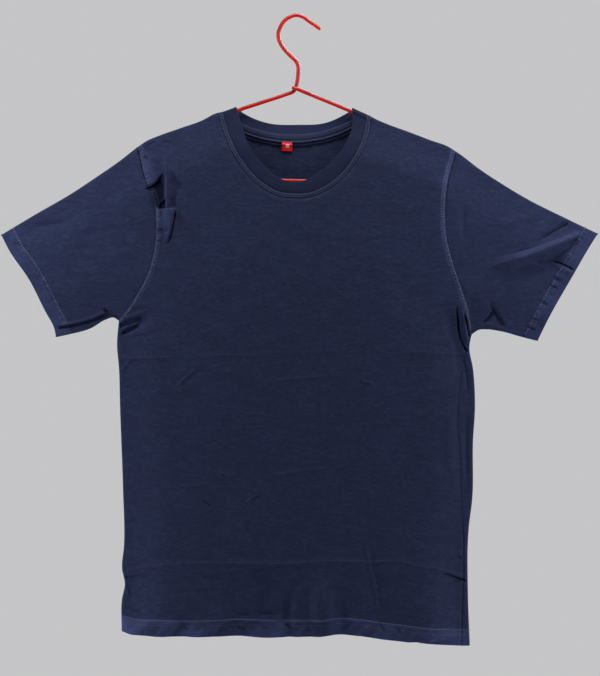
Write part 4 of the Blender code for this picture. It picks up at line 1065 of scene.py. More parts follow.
def loopsOf(triangles, count):   # the open edges, walked in order
    edges = np.concatenate([triangles[:, [0, 1]], triangles[:, [1, 2]], triangles[:, [2, 0]]])
    codes = edges[:, 0] * count + edges[:, 1]
    backs = edges[:, 1] * count + edges[:, 0]
    openEdges = edges[~np.isin(codes, backs)]
    following = {int(a): int(b) for a, b in openEdges}
    loops = []
    while following:
        start = next(iter(following))
        loop = [start]
        step = following.pop(start)
        while step != start and step in following:
            loop.append(step)
            step = following.pop(step)
        loops.append(np.array(loop))
    return loops


def pointNormals(points, triangles):
    a, b, c = (points[triangles[:, k]] for k in range(3))
    facing = np.cross(b - a, c - a)
    normals = np.zeros_like(points)
    for k in range(3):
        np.add.at(normals, triangles[:, k], facing)
    return normals / np.maximum(np.linalg.norm(normals, axis=1), 1e-12)[:, None]


def roundRim(outer, inner, normal, away, half, angles, bulge=1.0):
    # rows round an edge from the outer face to the inner one
    rows = []
    for angle in angles:
        turn = math.radians(angle)
        arc = normal * math.cos(turn) + away * math.sin(turn) * bulge
        rows.append((outer + inner) / 2.0 + half * arc)
    return rows


def giveWall(points, triangles, wall):
    # an inner face behind the outer one, and a round edge between them
    count = len(points)
    normals = pointNormals(points, triangles)
    inner = points - normals * wall[:, None]
    allPoints = [points, inner]
    faces = [triangles, triangles[:, ::-1] + count]
    total = 2 * count
    for loop in loopsOf(triangles, count):
        rim = points[loop]
        run = np.roll(rim, -1, axis=0) - np.roll(rim, 1, axis=0)
        away = np.cross(run, normals[loop])
        away = away / np.maximum(np.linalg.norm(away, axis=1), 1e-12)[:, None]
        half = wall[loop][:, None] / 2.0
        rows = [loop]
        for row in roundRim(rim, inner[loop], normals[loop], away, half, (45.0, 90.0, 135.0), 0.8):
            allPoints.append(row)
            rows.append(np.arange(total, total + len(loop)))
            total += len(loop)
        rows.append(loop + count)
        for near, far in zip(rows[:-1], rows[1:]):
            nearNext = np.roll(near, -1)
            farNext = np.roll(far, -1)
            faces.append(np.stack([nearNext, near, far], axis=1))
            faces.append(np.stack([nearNext, far, farNext], axis=1))
    return np.concatenate(allPoints), np.concatenate(faces)


def newPiece(name, points, faces, material, smooth=True):
    mesh = bpy.data.meshes.new(name)
    mesh.from_pydata(points.tolist(), [], [list(map(int, face)) for face in faces])
    mesh.validate()
    if smooth:
        mesh.shade_smooth()
    mesh.materials.append(material)
    piece = bpy.data.objects.new(name, mesh)
    bpy.context.scene.collection.objects.link(piece)
    return piece


def sewCloth(name, regions, joined, material):
    # regions: face, outline, runs and the names of its folded edges; joined folds carry
    # the cloth round from the first region to the second, the others end at a seam
    points = []
    faces = []
    walls = []
    total = 0
    found = []
    for region in regions:
        face = region["face"]
        runs = region["runs"]
        folds = [runs[fold] for fold in region["folds"]]
        flat, triangles, places = cutRegion(face, region["outline"], folds)
        onFold = np.zeros(len(flat), bool)
        for run in folds:
            onFold[[places[index] for index in run]] = True
        depth = clothDepth(face, flat, onFold)
        for seam, sign, high, low in region.get("tucks", []):   # lower behind the next piece
            near, away, _ = beside(seam, flat, 0.012)
            run = clothForm["tuckRun"]
            amount = low + (high - low) * easeStep((flat[near, 1] + 0.3) / 0.07)
            lower = easeStep((sign * away + 0.8 * run) / run) * amount
            room = np.maximum(depth[near] - clothForm["leastDepth"], 0.0)
            tucked = depth[near] - np.minimum(lower, room)
            tucked = np.maximum(tucked, wireRoom(flat[near], True))
            depth[near] = np.where(onFold[near], depth[near], np.minimum(depth[near], tucked))
        points.append(placed(face, flat, depth))
        single = clothForm["jersey"]
        walls.append(single + (clothForm["doubled"] - single) * bandShare(flat))
        if face == "back":
            triangles = triangles[:, ::-1]
        faces.append(triangles + total)
        found.append({fold: np.array([places[index] for index in runs[fold]]) + total
                      for fold in region["folds"]})
        total += len(flat)

    def addRow(source, depth):
        nonlocal total
        everything = np.concatenate(points)
        row = everything[source].copy()
        row[:, 1] = depth
        points.append(row)
        walls.append(np.concatenate(walls)[source])
        total += len(source)
        return np.arange(total - len(source), total)

    def bridge(near, far, turned):
        quads = [(near[1:], near[:-1], far[:-1]), (near[1:], far[:-1], far[1:])]
        for quad in quads:
            strip = np.stack(quad, axis=1)
            faces.append(strip[:, ::-1] if turned else strip)

    for fold in joined:
        near = found[0][fold]
        far = found[1][fold]
        turned = regions[0]["face"] == "back"
        middle = addRow(near, 0.0)
        bridge(near, middle, turned)
        bridge(middle, far, turned)
    for region, runs in zip(regions, found):
        for fold in region["folds"]:
            if fold not in joined:
                lip = addRow(runs[fold], outward[region["face"]] * 0.00036)
                bridge(runs[fold], lip, region["face"] == "back")
    shell, skin = giveWall(np.concatenate(points), np.concatenate(faces), np.concatenate(walls))
    piece = newPiece(name, shell, skin, material)
    paintWearAndHighlights(piece)
    print(name, "sewn,", len(skin), "triangles")
    return piece


# Finishes. Sizes in the patterns are in metres on the object.
even = (1.0, 1.0, 1.0)   # a pattern that isn't stretched


def newMaterial(name, colour, roughness, surface=None):
    material = bpy.data.materials.new(name)
    material.use_nodes = True
    shader = material.node_tree.nodes["Principled BSDF"]
    levels = {"Base Color": (*colour, 1.0), "Roughness": roughness, **(surface or {})}
    for socket, level in levels.items():
        shader.inputs[socket].default_value = level
    material.diffuse_color = (*colour, 1.0)
    return material, shader


def addNode(material, kind, **inputs):
    node = material.node_tree.nodes.new(kind)
    for name, value in inputs.items():
        node.inputs[name].default_value = value
    return node


def joinNodes(material, start, end):
    material.node_tree.links.new(start, end)


def objectPlace(material, stretch):   # object coordinates, stretched by x, y and z
    coordinates = addNode(material, "ShaderNodeTexCoord")
    mapping = addNode(material, "ShaderNodeMapping", Scale=stretch)
    joinNodes(material, coordinates.outputs["Object"], mapping.inputs["Vector"])
    return mapping.outputs["Vector"]


def addNoise(material, stretch, scale, detail=3.0, roughness=0.55):
    noise = addNode(material, "ShaderNodeTexNoise", Scale=scale, Detail=detail,
                    Roughness=roughness)
    joinNodes(material, objectPlace(material, stretch), noise.inputs["Vector"])
    return noise.outputs["Fac"]


def addBands(material, direction, spacing, stretch=even, distortion=0.0):
    # even lines across one axis, spaced in metres
    bands = addNode(material, "ShaderNodeTexWave", Scale=math.pi / 10.0 / spacing,
                    Distortion=distortion)
    bands.wave_type = "BANDS"
    bands.bands_direction = direction
    joinNodes(material, objectPlace(material, stretch), bands.inputs["Vector"])
    return bands.outputs["Fac"]


def addMath(material, operation, *values):
    node = addNode(material, "ShaderNodeMath")
    node.operation = operation
    for value, socket in zip(values, node.inputs):
        joinNodes(material, value, socket)
    return node.outputs["Value"]


# reads the wear layer: fading along seams and painted highlights
def readWearAndHighlight(material):
    wear = addNode(material, "ShaderNodeAttribute")
    wear.attribute_name = "wear"
    return wear.outputs["Fac"]


def tint(material, colour, amount, other):
    # a plain colour or a mixed one, pulled towards another by a pattern
    mix = addNode(material, "ShaderNodeMix")
    mix.data_type = "RGBA"
    mix.inputs[7].default_value = (*other, 1.0)
    joinNodes(material, amount, mix.inputs["Factor"])
    if isinstance(colour, tuple):
        mix.inputs[6].default_value = (*colour, 1.0)
    else:
        joinNodes(material, colour, mix.inputs[6])
    return mix.outputs[2]


def span(material, value, low, high, first=0.0, last=1.0):
    # a pattern's range from low to high, spread to first and last
    ranged = addNode(material, "ShaderNodeMapRange")
    for name, number in (("From Min", low), ("From Max", high), ("To Min", first),
                         ("To Max", last)):
        ranged.inputs[name].default_value = number
    joinNodes(material, value, ranged.inputs["Value"])
    return ranged.outputs["Result"]


def addPattern(material, pattern, stretch=even):
    # pattern: scale, detail and roughness of a noise, and how it is spread
    noise, spread = pattern
    return span(material, addNoise(material, stretch, *noise), *spread)


def addRelief(material, *layers):   # each: pattern, height in metres, strength
    under = None
    for height, distance, strength in layers:
        relief = addNode(material, "ShaderNodeBump", Distance=distance, Strength=strength)
        joinNodes(material, height, relief.inputs["Height"])
        if under is not None:
            joinNodes(material, under, relief.inputs["Normal"])
        under = relief.outputs["Normal"]
    return under


def joinLooks(material, shader, colour, relief, rough=None):
    joinNodes(material, colour, shader.inputs["Base Color"])
    joinNodes(material, relief, shader.inputs["Normal"])
    if rough is not None:
        joinNodes(material, rough, shader.inputs["Roughness"])


jerseyFinish = {
    "deep": (0.0057, 0.0079, 0.0209),
    "plain": (0.0072, 0.0099, 0.0262),
    "slub": (0.0123, 0.016, 0.0402),
    # paler: the colour the wear layer pulls the cloth towards, both for fading along seams and for
    # painted highlights
    "paler": (0.0221, 0.0287, 0.0738),
    "roughness": 0.86,
    "wale": 0.00095,        # width of a column of knit stitches
    "course": 0.00075,      # height of a row of them
    "grain": (0.45, 1.0, 1.0),
    # noise's scale, detail and roughness, and how it is spread
    "mottle": ((26.0, 5.0, 0.6), (0.3, 0.7)),
    "heather": ((330.0, 3.0, 0.6), (0.4, 0.62)),
    "dull": ((95.0, 3.0), (0.42, 0.6, 0.4, 0.0)),
    "speckle": ((620.0, 3.0, 0.6), (0.36, 0.66, 0.45, 1.0)),
    "fuzz": (2100.0, 2.0),
    "crumple": (105.0, 4.0, 0.55),
    # height in metres, strength
    "rises": {"crumple": (0.0019, 0.8), "wale": (0.00012, 0.45), "course": (0.00008, 0.35),
              "heather": (0.00012, 0.4), "fuzz": (0.00016, 0.45)},
    "surface": {"Specular IOR Level": 0.05, "Sheen Weight": 0.12, "Sheen Roughness": 0.42,
                "Sheen Tint": (0.34, 0.4, 0.68, 1.0)},
}


def knitFinish(name, finish):
    rough = finish["roughness"]
    rises = finish["rises"]
    material, shader = newMaterial(name, finish["plain"], rough, finish["surface"])
    mottle = addPattern(material, finish["mottle"])
    colour = tint(material, finish["deep"], mottle, finish["plain"])
    heather = addPattern(material, finish["heather"], finish["grain"])
    colour = tint(material, colour, span(material, heather, 0.0, 1.0, 0.0, 0.6), finish["slub"])
    dull = addPattern(material, finish["dull"], (0.6, 1.0, 1.0))
    colour = tint(material, colour, dull, finish["deep"])
    speckle = addPattern(material, finish["speckle"])
    # the wear layer pales the cloth: real fading along its seams, and painted highlights on raised
    # folds and the hem's band
    paler = addMath(material, "MULTIPLY", readWearAndHighlight(material), speckle)
    colour = tint(material, colour, paler, finish["paler"])
    wales = addBands(material, "X", finish["wale"], distortion=0.4)
    courses = addBands(material, "Z", finish["course"], distortion=0.4)
    fuzz = addNoise(material, even, *finish["fuzz"])
    crumple = addNoise(material, finish["grain"], *finish["crumple"])
    relief = addRelief(material, (crumple, *rises["crumple"]), (wales, *rises["wale"]),
                       (courses, *rises["course"]), (heather, *rises["heather"]),
                       (fuzz, *rises["fuzz"]))
    uneven = span(material, mottle, 0.0, 1.0, rough - 0.04, rough + 0.05)
    joinLooks(material, shader, colour, relief, uneven)
    return material


navyJersey = knitFinish("navyJersey", jerseyFinish)

threadFinish = {"colour": (0.035, 0.043, 0.098), "deep": (0.017, 0.022, 0.053),
                "roughness": 0.62, "twist": 0.0003, "worn": ((160.0, 3.0), (0.35, 0.65)),
                "surface": {"Sheen Weight": 0.2}}


def twistedThread(name, finish):
    material, shader = newMaterial(name, finish["colour"], finish["roughness"], finish["surface"])
    strands = addBands(material, "DIAGONAL", finish["twist"])
    wear = addPattern(material, finish["worn"])
    colour = tint(material, finish["deep"], strands, finish["colour"])
    colour = tint(material, colour, span(material, wear, 0.0, 1.0, 0.0, 0.45), finish["deep"])
    joinLooks(material, shader, colour, addRelief(material, (strands, 0.00008, 0.6)))
    return material


navyThread = twistedThread("navyThread", threadFinish)
print("cloth finishes mixed")


def bodyOutline(face):
    # hem, left side, left armhole, left shoulder, neck and down the right side
    gap = clothForm["seamShift"]
    pitch = clothForm["edgePitch"]
    ends = {"right": 0, "left": -1}
    edges = {}
    for side, turn in turns.items():
        tip = shirtCut["armhole"][side][-1][0] - turn * gap
        throat = shirtCut["neckSeam"][face][ends[side]][0] + turn * gap
        armpit = shirtCut["armhole"][side][0][1] - gap
        shoulder = topLine(side, tip, throat)
        flank = sideLine(side, shirtCut["hemEdge"][ends[side]][1], armpit)
        armhole = shifted(armholeLines[side], turn * gap)
        armhole[0] = flank[-1]
        armhole[-1] = shoulder[0]
        edges[side] = {"shoulder": shoulder, "side": flank, "armhole": armhole}
    right = edges["right"]
    left = edges["left"]
    neck = shifted(neckLines[face], -gap)
    neck[0] = right["shoulder"][-1]
    neck[-1] = left["shoulder"][-1]
    x = np.linspace(shirtCut["hemEdge"][0][0], shirtCut["hemEdge"][-1][0], 500)
    hem = alongEdge(shirtCut["hemEdge"], x)
    hem[0] = right["side"][0]
    hem[-1] = left["side"][0]
    if face == "front":
        seam = shifted(leftSeamLine, -0.3 * gap)[::-1]
        hem = hem[hem[:, 0] < seam[0, 0]]
        seam[0] = hem[-1]
        seam[-1] = left["side"][-1]
        leftEdge = ("leftSeam", spaced(seam, pitch, False, True))
    else:
        leftEdge = ("leftSide", spaced(left["side"], pitch))
    return outlineFrom([
        ("hem", spaced(hem, pitch, True, face == "back")),
        leftEdge,
        ("leftArmhole", spaced(left["armhole"], pitch, True, True)),
        ("leftShoulder", spaced(left["shoulder"], pitch)),
        ("neck", spaced(neck[::-1], pitch, True, True)),
        ("rightShoulder", spaced(right["shoulder"][::-1], pitch)),
        ("rightArmhole", spaced(right["armhole"][::-1], pitch, True, True)),
        ("rightSide", spaced(right["side"][::-1], pitch)),
    ])


def wrapOutline():
    # the back's strip that turns round the left side onto the front
    gap = clothForm["seamShift"]
    pitch = clothForm["edgePitch"]
    bottom = shirtCut["hemEdge"][-1][1]
    top = shirtCut["armhole"]["left"][0][1] - gap
    side = sideLine("left", bottom, top)
    under = clothForm["allowance"] * easeStep(walked(leftSeamLine) / 0.02)[:, None]
    seam = leftSeamLine - leftOf(leftSeamLine) * (under - gap)
    seam[0] = side[-1]
    x = np.linspace(seam[-1, 0], shirtCut["hemEdge"][-1][0], 40)
    hem = alongEdge(shirtCut["hemEdge"], x)
    seam[-1] = hem[0]
    hem[-1] = side[0]
    return outlineFrom([
        ("hem", spaced(hem, pitch, False, True)),
        ("leftSide", spaced(side, pitch)),
        ("leftSeam", spaced(seam, pitch, True, False)),
    ])


frontOutline, frontRuns = bodyOutline("front")
frontPanel = sewCloth("frontPanel", [
    {"face": "front", "outline": frontOutline, "runs": frontRuns,
     "folds": ["leftShoulder", "rightShoulder", "rightSide"]},
], [], navyJersey)

backOutline, backRuns = bodyOutline("back")
wrapEdge, wrapRuns = wrapOutline()
backPanel = sewCloth("backPanel", [
    {"face": "front", "outline": wrapEdge, "runs": wrapRuns, "folds": ["leftSide"],
     "tucks": [(leftSeamLine, -1.0, *clothForm["sideTuck"])]},
    {"face": "back", "outline": backOutline, "runs": backRuns,
     "folds": ["leftSide", "leftShoulder", "rightShoulder", "rightSide"]},
], ["leftSide"], navyJersey)


def sleeveOutline(side):
    gap = clothForm["seamShift"]
    pitch = clothForm["edgePitch"]
    away = turns[side]
    tip = shirtCut["armhole"][side][-1][0] + away * gap
    pit = shirtCut["armhole"][side][0][0] + away * gap
    cuff = np.array(cuffLines[side])
    top = topLine(side, tip, shirtCut["topEdge"][side][-1][0])
    under = underLine(side, pit, shirtCut["underarm"][side][-1][0])
    reach = walked(armholeLines[side])
    tucked = easeStep(reach / 0.02) * easeStep((reach[-1] - reach) / 0.02)
    tucked = (clothForm["allowance"] * tucked - gap) * away
    armhole = armholeLines[side] + leftOf(armholeLines[side]) * tucked[:, None]
    armhole[0] = under[0]
    armhole[-1] = top[0]
    cuff[0] = under[-1]
    cuff[-1] = top[-1]
    rows = {
        "under": spaced(under, pitch),
        "cuff": spaced(cuff, pitch, True, True),
        "top": spaced(top, pitch)[::-1],
        "armhole": spaced(armhole, pitch, True, True)[::-1],
    }
    if side == "left":
        return outlineFrom(list(rows.items()))
    return outlineFrom([(name, rows[name][::-1]) for name in reversed(rows)])


sleeves = {}
for side, turn in turns.items():
    edge, runs = sleeveOutline(side)
    faces = [{"face": face, "outline": edge, "runs": runs, "folds": ["top", "under"],
              "tucks": [(armholeLines[side], turn, *clothForm["sleeveTuck"])]}
             for face in outward]
    sleeves[side] = sewCloth(side + "Sleeve", faces, ["top", "under"], navyJersey)


# Stitches: a short thread from hole to hole, its ends sunk into the cloth
stitchForm = {
    "length": 0.0024,
    "gap": 0.001,
    "thread": 0.00026,
    "sides": 6,
    # short threads across a band: distance from its edge, spacing, share of them left
    "armholeBars": {"from": 0.0034, "length": 0.0042, "spacing": 0.0027, "share": 0.85,
                    "weight": 0.85},
    "cuffBars": {"from": 0.0166, "length": 0.004, "spacing": 0.0031, "share": 0.45,
                 "weight": 0.8},
}


def stitchTemplate():
    # along the stitch, out of the cloth, across it, in shares of length and thread
    stations = [(-0.34, 0.75, 0.1), (0.0, 1.0, 0.45), (0.34, 0.75, 0.1)]
    sides = stitchForm["sides"]
    points = [(-0.5, -0.9, 0.0)]
    for along, size, lift in stations:
        for k in range(sides):
            angle = 2.0 * math.pi * k / sides
            points.append((along, lift + size * math.cos(angle), size * math.sin(angle)))
    points.append((0.5, -0.9, 0.0))
    faces = []
    for k in range(sides):
        following = (k + 1) % sides
        faces.append((0, 1 + k, 1 + following))
        for ring in range(len(stations) - 1):
            low = 1 + ring * sides
            faces.append((low + k, low + sides + k, low + sides + following))
            faces.append((low + k, low + sides + following, low + following))
        last = 1 + (len(stations) - 1) * sides
        faces.append((last + k, len(points) - 1, last + following))
    return np.array(points), np.array(faces)


def layThreads(face, start, centre, end, length, weight):
    # a thread from each start to its end, over the centre between them
    first, place, last = (placed(face, spots, clothDepth(face, spots))
                          for spots in (start, centre, end))
    along = unit(last - first)
    out = clothNormal(face, centre)
    sideways = np.cross(along, out)
    shape, corners = stitchTemplate()
    thread = stitchForm["thread"] * weight
    points = (place[:, None]
              + along[:, None] * shape[None, :, :1] * length
              + out[:, None] * shape[None, :, 1:2] * thread
              + sideways[:, None] * shape[None, :, 2:] * thread)
    numbers = corners[None] + np.arange(len(centre))[:, None, None] * len(shape)
    return points.reshape(-1, 3), numbers.reshape(-1, 3)


def stitchRow(face, line, weight):   # stitches along a line on one face of the shirt
    line = line[foldDistance(line) > 0.0012]
    stitch = stitchForm["length"]
    length = walked(line)[-1]
    count = int(length / (stitch + stitchForm["gap"]))
    middles = (np.arange(count) + 0.5) * length / count
    start = atDistances(line, middles - stitch / 2.0)
    end = atDistances(line, middles + stitch / 2.0)
    return layThreads(face, start, (start + end) / 2.0, end, stitch, weight)


def barRow(face, line, bar, chance):   # short threads across a band
    spacing = bar["spacing"]
    at = np.arange(spacing, walked(line)[-1] - spacing, spacing)
    at = at + chance.uniform(-0.22, 0.22, len(at)) * spacing
    at = at[chance.uniform(0.0, 1.0, len(at)) < bar["share"]]
    centre = atDistances(line, at)
    turn = leftOf(line)[np.searchsorted(walked(line), at)]
    slant = chance.uniform(-0.25, 0.25, len(at))[:, None]
    turn = turn + slant * np.stack([turn[:, 1], -turn[:, 0]], axis=1)
    keep = foldDistance(centre) > 0.006
    centre = centre[keep]
    half = turn[keep] * (bar["length"] / 2.0)
    return layThreads(face, centre - half, centre, centre + half, bar["length"], bar["weight"])


def sewThreads(name, rows):
    points = []
    faces = []
    total = 0
    for rowPoints, rowFaces in rows:
        points.append(rowPoints)
        faces.append(rowFaces + total)
        total += len(rowPoints)
    piece = newPiece(name, np.concatenate(points), np.concatenate(faces), navyThread)
    print(name, "sewn,", total // len(stitchTemplate()[0]), "threads")
    return piece


def stitchRows(line, rows, turn=1.0, share=1.0, faces=("front", "back")):
    return [stitchRow(face, shifted(line, turn * row), weight * share)
            for row, weight in rows for face in faces]


def sewBars(name, lines, bar):
    chance = np.random.default_rng(77)
    return sewThreads(name, [barRow(face, shifted(lines[side], turns[side] * bar["from"]), bar,
                                    chance) for side in lines for face in outward])


hemStitches = sewThreads("hemStitches", stitchRows(hemLine, seamDetail["hemRows"]))
armholeRuns = []
for side, weight in (("right", 0.75), ("left", 1.0)):
    armholeRuns += stitchRows(armholeLines[side], seamDetail["armholeRows"], turns[side], weight)
armholeStitches = sewThreads("armholeStitches", armholeRuns)
armholeBars = sewBars("armholeBars", armholeLines, stitchForm["armholeBars"])
cuffBars = {side: sewBars(side + "CuffBars", {side: line}, stitchForm["cuffBars"])
            for side, line in cuffLines.items()}
cuffStitches = {side: sewThreads(side + "CuffStitches",
                                 stitchRows(cuffLines[side], seamDetail["cuffRows"], turn))
                for side, turn in turns.items()}
neckRuns = []
for face, line in neckLines.items():
    neckRuns += stitchRows(line, seamDetail["neckRows"], turn=-1.0, faces=(face,))
neckStitches = sewThreads("neckStitches", neckRuns)

# The collar: a rib band folded double, its ribs across it
collarForm = {
    "wall": 0.0018,
    "crown": 0.0007,
    "backLean": 0.0035,    # how far the back of the collar leans back at its free edge
    "rib": 0.0021,
    "ribRise": 0.00017,
    "samples": 5,          # points across one rib
    "rows": 9,             # points from the seam to the free edge
    "seamGap": 0.0003,
    "tucked": {"front": (0.0045, 0.0025, 0.0007), "back": (0.003, 0.0019, 0.0007)},
    "tuckedWall": 0.0009,
    "tuckedDrop": 0.0013,
    "taperRun": 0.022,     # distances from the shoulders over which these set in
    "dropRun": 0.012,
    "crownRun": 0.004,
    # painted highlight: how much paler the collar's back half is inside, where it faces up towards the
    # light
    "paintedHighlightInside": 0.55,
    "deep": (0.0046, 0.0062, 0.0172),
    "plain": (0.0057, 0.0078, 0.0211),
    "edge": (0.0107, 0.0138, 0.0344),
    "paler": (0.012, 0.0172, 0.045),       # the collar's back half, inside
    "roughness": 0.88,
    "mottle": ((60.0, 4.0), (0.32, 0.68)),
    "worn": ((420.0, 2.0), (0.55, 0.75, 0.0, 0.5)),
    "course": 0.0008,
    "fuzz": (1900.0, 2.0),
}


def ribFinish(name, form):
    material, shader = newMaterial(name, form["plain"], form["roughness"], jerseyFinish["surface"])
    colour = tint(material, form["deep"], addPattern(material, form["mottle"]), form["plain"])
    colour = tint(material, colour, addPattern(material, form["worn"]), form["edge"])
    # on the collar the wear layer is a painted highlight over its back half
    colour = tint(material, colour, readWearAndHighlight(material), form["paler"])
    courses = addBands(material, "Z", form["course"], distortion=0.6)
    fuzz = addNoise(material, even, *form["fuzz"])
    rises = jerseyFinish["rises"]
    relief = addRelief(material, (courses, *rises["course"]), (fuzz, *rises["fuzz"]))
    joinLooks(material, shader, colour, relief)
    return material


navyRib = ribFinish("navyRib", collarForm)


def pinEnds(flat):   # both ends of a row of the collar lie on the shoulder fold
    for end, side in ((0, "right"), (-1, "left")):
        flat[end] = alongEdge(shirtCut["topEdge"][side], flat[end, :1])[0]


def makeCollar():
    form = collarForm
    tucked = len(form["tucked"]["front"])
    grid = [[] for _ in range(tucked + form["rows"])]
    walls = np.full(len(grid), form["wall"])
    walls[:tucked] = form["tuckedWall"]
    for face, order in (("front", 1), ("back", -1)):
        seamLine = neckLines[face]
        edgeLine = smoothLine(shirtCut["neckEdge"][face])
        length = walked(seamLine)[-1]
        ribs = round(length / form["rib"])
        shares = np.linspace(0.0, 1.0, ribs * form["samples"] + 1)
        seam = atDistances(seamLine, shares * length)
        edge = atDistances(edgeLine, shares * walked(edgeLine)[-1])
        across = unit(edge - seam)
        onFold = np.zeros(len(seam), bool)
        onFold[[0, -1]] = True
        rib = 0.5 + 0.5 * np.cos(shares * ribs * 2.0 * math.pi)
        ends = np.minimum(shares, 1.0 - shares) * length
        inland = easeStep(ends / form["crownRun"])
        for k, reach in enumerate(form["tucked"][face]):
            taper = 0.06 + 0.94 * easeStep(ends / form["taperRun"])
            flat = seam - across * (reach * taper)[:, None]
            pinEnds(flat)
            drop = form["tuckedDrop"] * easeStep(ends / form["dropRun"])
            depth = clothDepth(face, flat, onFold) - drop
            depth = np.where(onFold, depth, np.maximum(depth, wireRoom(flat, True)))
            grid[k].append(placed(face, flat, depth)[::order])
        seam = seam + across * form["seamGap"]
        for k in range(form["rows"]):
            share = k / (form["rows"] - 1.0)
            flat = seam + (edge - seam) * share
            pinEnds(flat)
            room = wireRoom(flat, True) + form["wall"] - clothForm["jersey"]
            depth = clothDepth(face, flat, onFold)
            depth = np.where(onFold, depth, np.maximum(depth, room))
            if face == "back":
                depth += form["backLean"] * share * inland
            depth += form["crown"] * math.sin(math.pi * share) * inland
            depth += form["ribRise"] * rib * inland
            grid[tucked + k].append(placed(face, flat, depth)[::order])
    grid = np.array([np.concatenate(row) for row in grid])
    along = np.roll(grid, -1, axis=1) - np.roll(grid, 1, axis=1)
    up = np.gradient(grid, axis=0)
    normal = np.cross(along, up)
    normal /= np.linalg.norm(normal, axis=2, keepdims=True)
    normal[:tucked + 1] = normal[tucked + 1]
    up /= np.linalg.norm(up, axis=2, keepdims=True)
    inner = grid - normal * walls[:, None, None]
    profile = list(grid)
    profile += roundRim(grid[-1], inner[-1], normal[-1], up[-1], walls[-1] / 2.0,
                        (35.0, 70.0, 110.0, 145.0))
    profile.extend(inner[::-1])
    profile += roundRim(grid[0], inner[0], normal[0], up[0], walls[0] / 2.0,
                        (145.0, 90.0, 35.0), -0.15)
    points = np.concatenate(profile)
    rings = len(profile)
    around = grid.shape[1]
    k, j = np.meshgrid(np.arange(rings), np.arange(around), indexing="ij")
    low = (k * around + j).ravel()
    lowNext = (k * around + (j + 1) % around).ravel()
    high = ((k + 1) % rings * around + j).ravel()
    highNext = ((k + 1) % rings * around + (j + 1) % around).ravel()
    faces = np.stack([low, lowNext, highNext, high], axis=1)
    piece = newPiece("collarBand", points, faces, navyRib)
    # painted highlight over the back half of the collar
    layWearAndHighlight(piece, form["paintedHighlightInside"] * easeStep((points[:, 1] - 0.0005) / 0.004))
    return piece


collarBand = makeCollar()
print("collar knitted")

# Neck tape and label, on the inner side of the back
tapeForm = {
    # across it: distance below the back neck seam, height off the back's inner face
    "section": ((-0.0079, 0.0008), (-0.0076, 0.0019), (-0.0068, 0.0024), (-0.0052, 0.0025),
                (-0.003, 0.0025), (-0.0014, 0.0024), (-0.0006, 0.0019), (0.0001, 0.0014),
                (0.001, 0.0014), (0.0016, 0.002), (0.0022, 0.003), (0.0029, 0.0033),
                (0.0035, 0.0026), (0.0037, 0.001)),
    "ends": (0.1, 0.9),
    "wall": 0.0008,
    "colour": (0.0098, 0.0134, 0.037),
    "deep": (0.0065, 0.0088, 0.0265),
    "weave": 0.0011,
    "fleck": ((300.0, 2.0), (0.4, 0.7, 0.0, 0.4)),
    "stations": 260,
    "roughness": 0.8,
    "surface": {"Specular IOR Level": 0.08, "Sheen Weight": 0.1},
}


def stripFaces(rows, columns):
    i, j = np.meshgrid(np.arange(rows - 1), np.arange(columns - 1), indexing="ij")
    first = (i * columns + j).ravel()
    return np.concatenate([
        np.stack([first, first + 1, first + columns + 1], axis=1),
        np.stack([first, first + columns + 1, first + columns], axis=1),
    ])


def weaveFinish(name, form):
    material, shader = newMaterial(name, form["colour"], form["roughness"], form["surface"])
    twill = addBands(material, "DIAGONAL", form["weave"], (1.0, 0.0, 1.0))
    colour = tint(material, form["deep"], twill, form["colour"])
    colour = tint(material, colour, addPattern(material, form["fleck"]), form["deep"])
    threads = addBands(material, "X", form["weave"] / 2.0)
    relief = addRelief(material, (twill, 0.00014, 0.6), (threads, 0.00008, 0.4))
    joinLooks(material, shader, colour, relief)
    return material


navyTape = weaveFinish("navyTape", tapeForm)


def tapeLine(drop):   # the back neck seam moved down
    return neckLines["back"] - np.array([0.0, drop])


def insideBack(flat, off):   # points on the back's inner face, off it by a distance
    depth = clothDepth("back", flat) - clothForm["jersey"] - off
    return placed("back", flat, depth)


def makeTape():
    rows = []
    first, last = tapeForm["ends"]
    stations = np.linspace(first, last, tapeForm["stations"])
    thin = easeStep((stations - first) / 0.02) * easeStep((last - stations) / 0.02)
    for drop, off in tapeForm["section"]:
        line = tapeLine(drop)
        flat = atDistances(line, stations * walked(line)[-1])
        rows.append(insideBack(flat, 0.0006 + (off - 0.0006) * thin))
    points = np.concatenate(rows[::-1])
    wall = np.full(len(points), tapeForm["wall"] * 0.5)
    shell, skin = giveWall(points, stripFaces(len(rows), len(stations)), wall)
    return newPiece("neckTape", shell, skin, navyTape)


neckTape = makeTape()

labelForm = {
    "x": (-0.019, -0.0053),
    "drop": 0.0026,                       # its top below the back neck seam
    "height": 0.0126,
    "wall": 0.0004,
    "colour": (0.44, 0.0035, 0.005),
    "deep": (0.305, 0.0026, 0.0034),
    "weave": 0.0006,
    "patch": (0.44, 0.26, 0.25),         # a plain pale block, woven in
    "patchX": (-0.0143, -0.009),
    "patchZ": (-0.1776, -0.173),
    "roughness": 0.46,
    "surface": {"Specular IOR Level": 0.12, "Sheen Weight": 0.05},
}


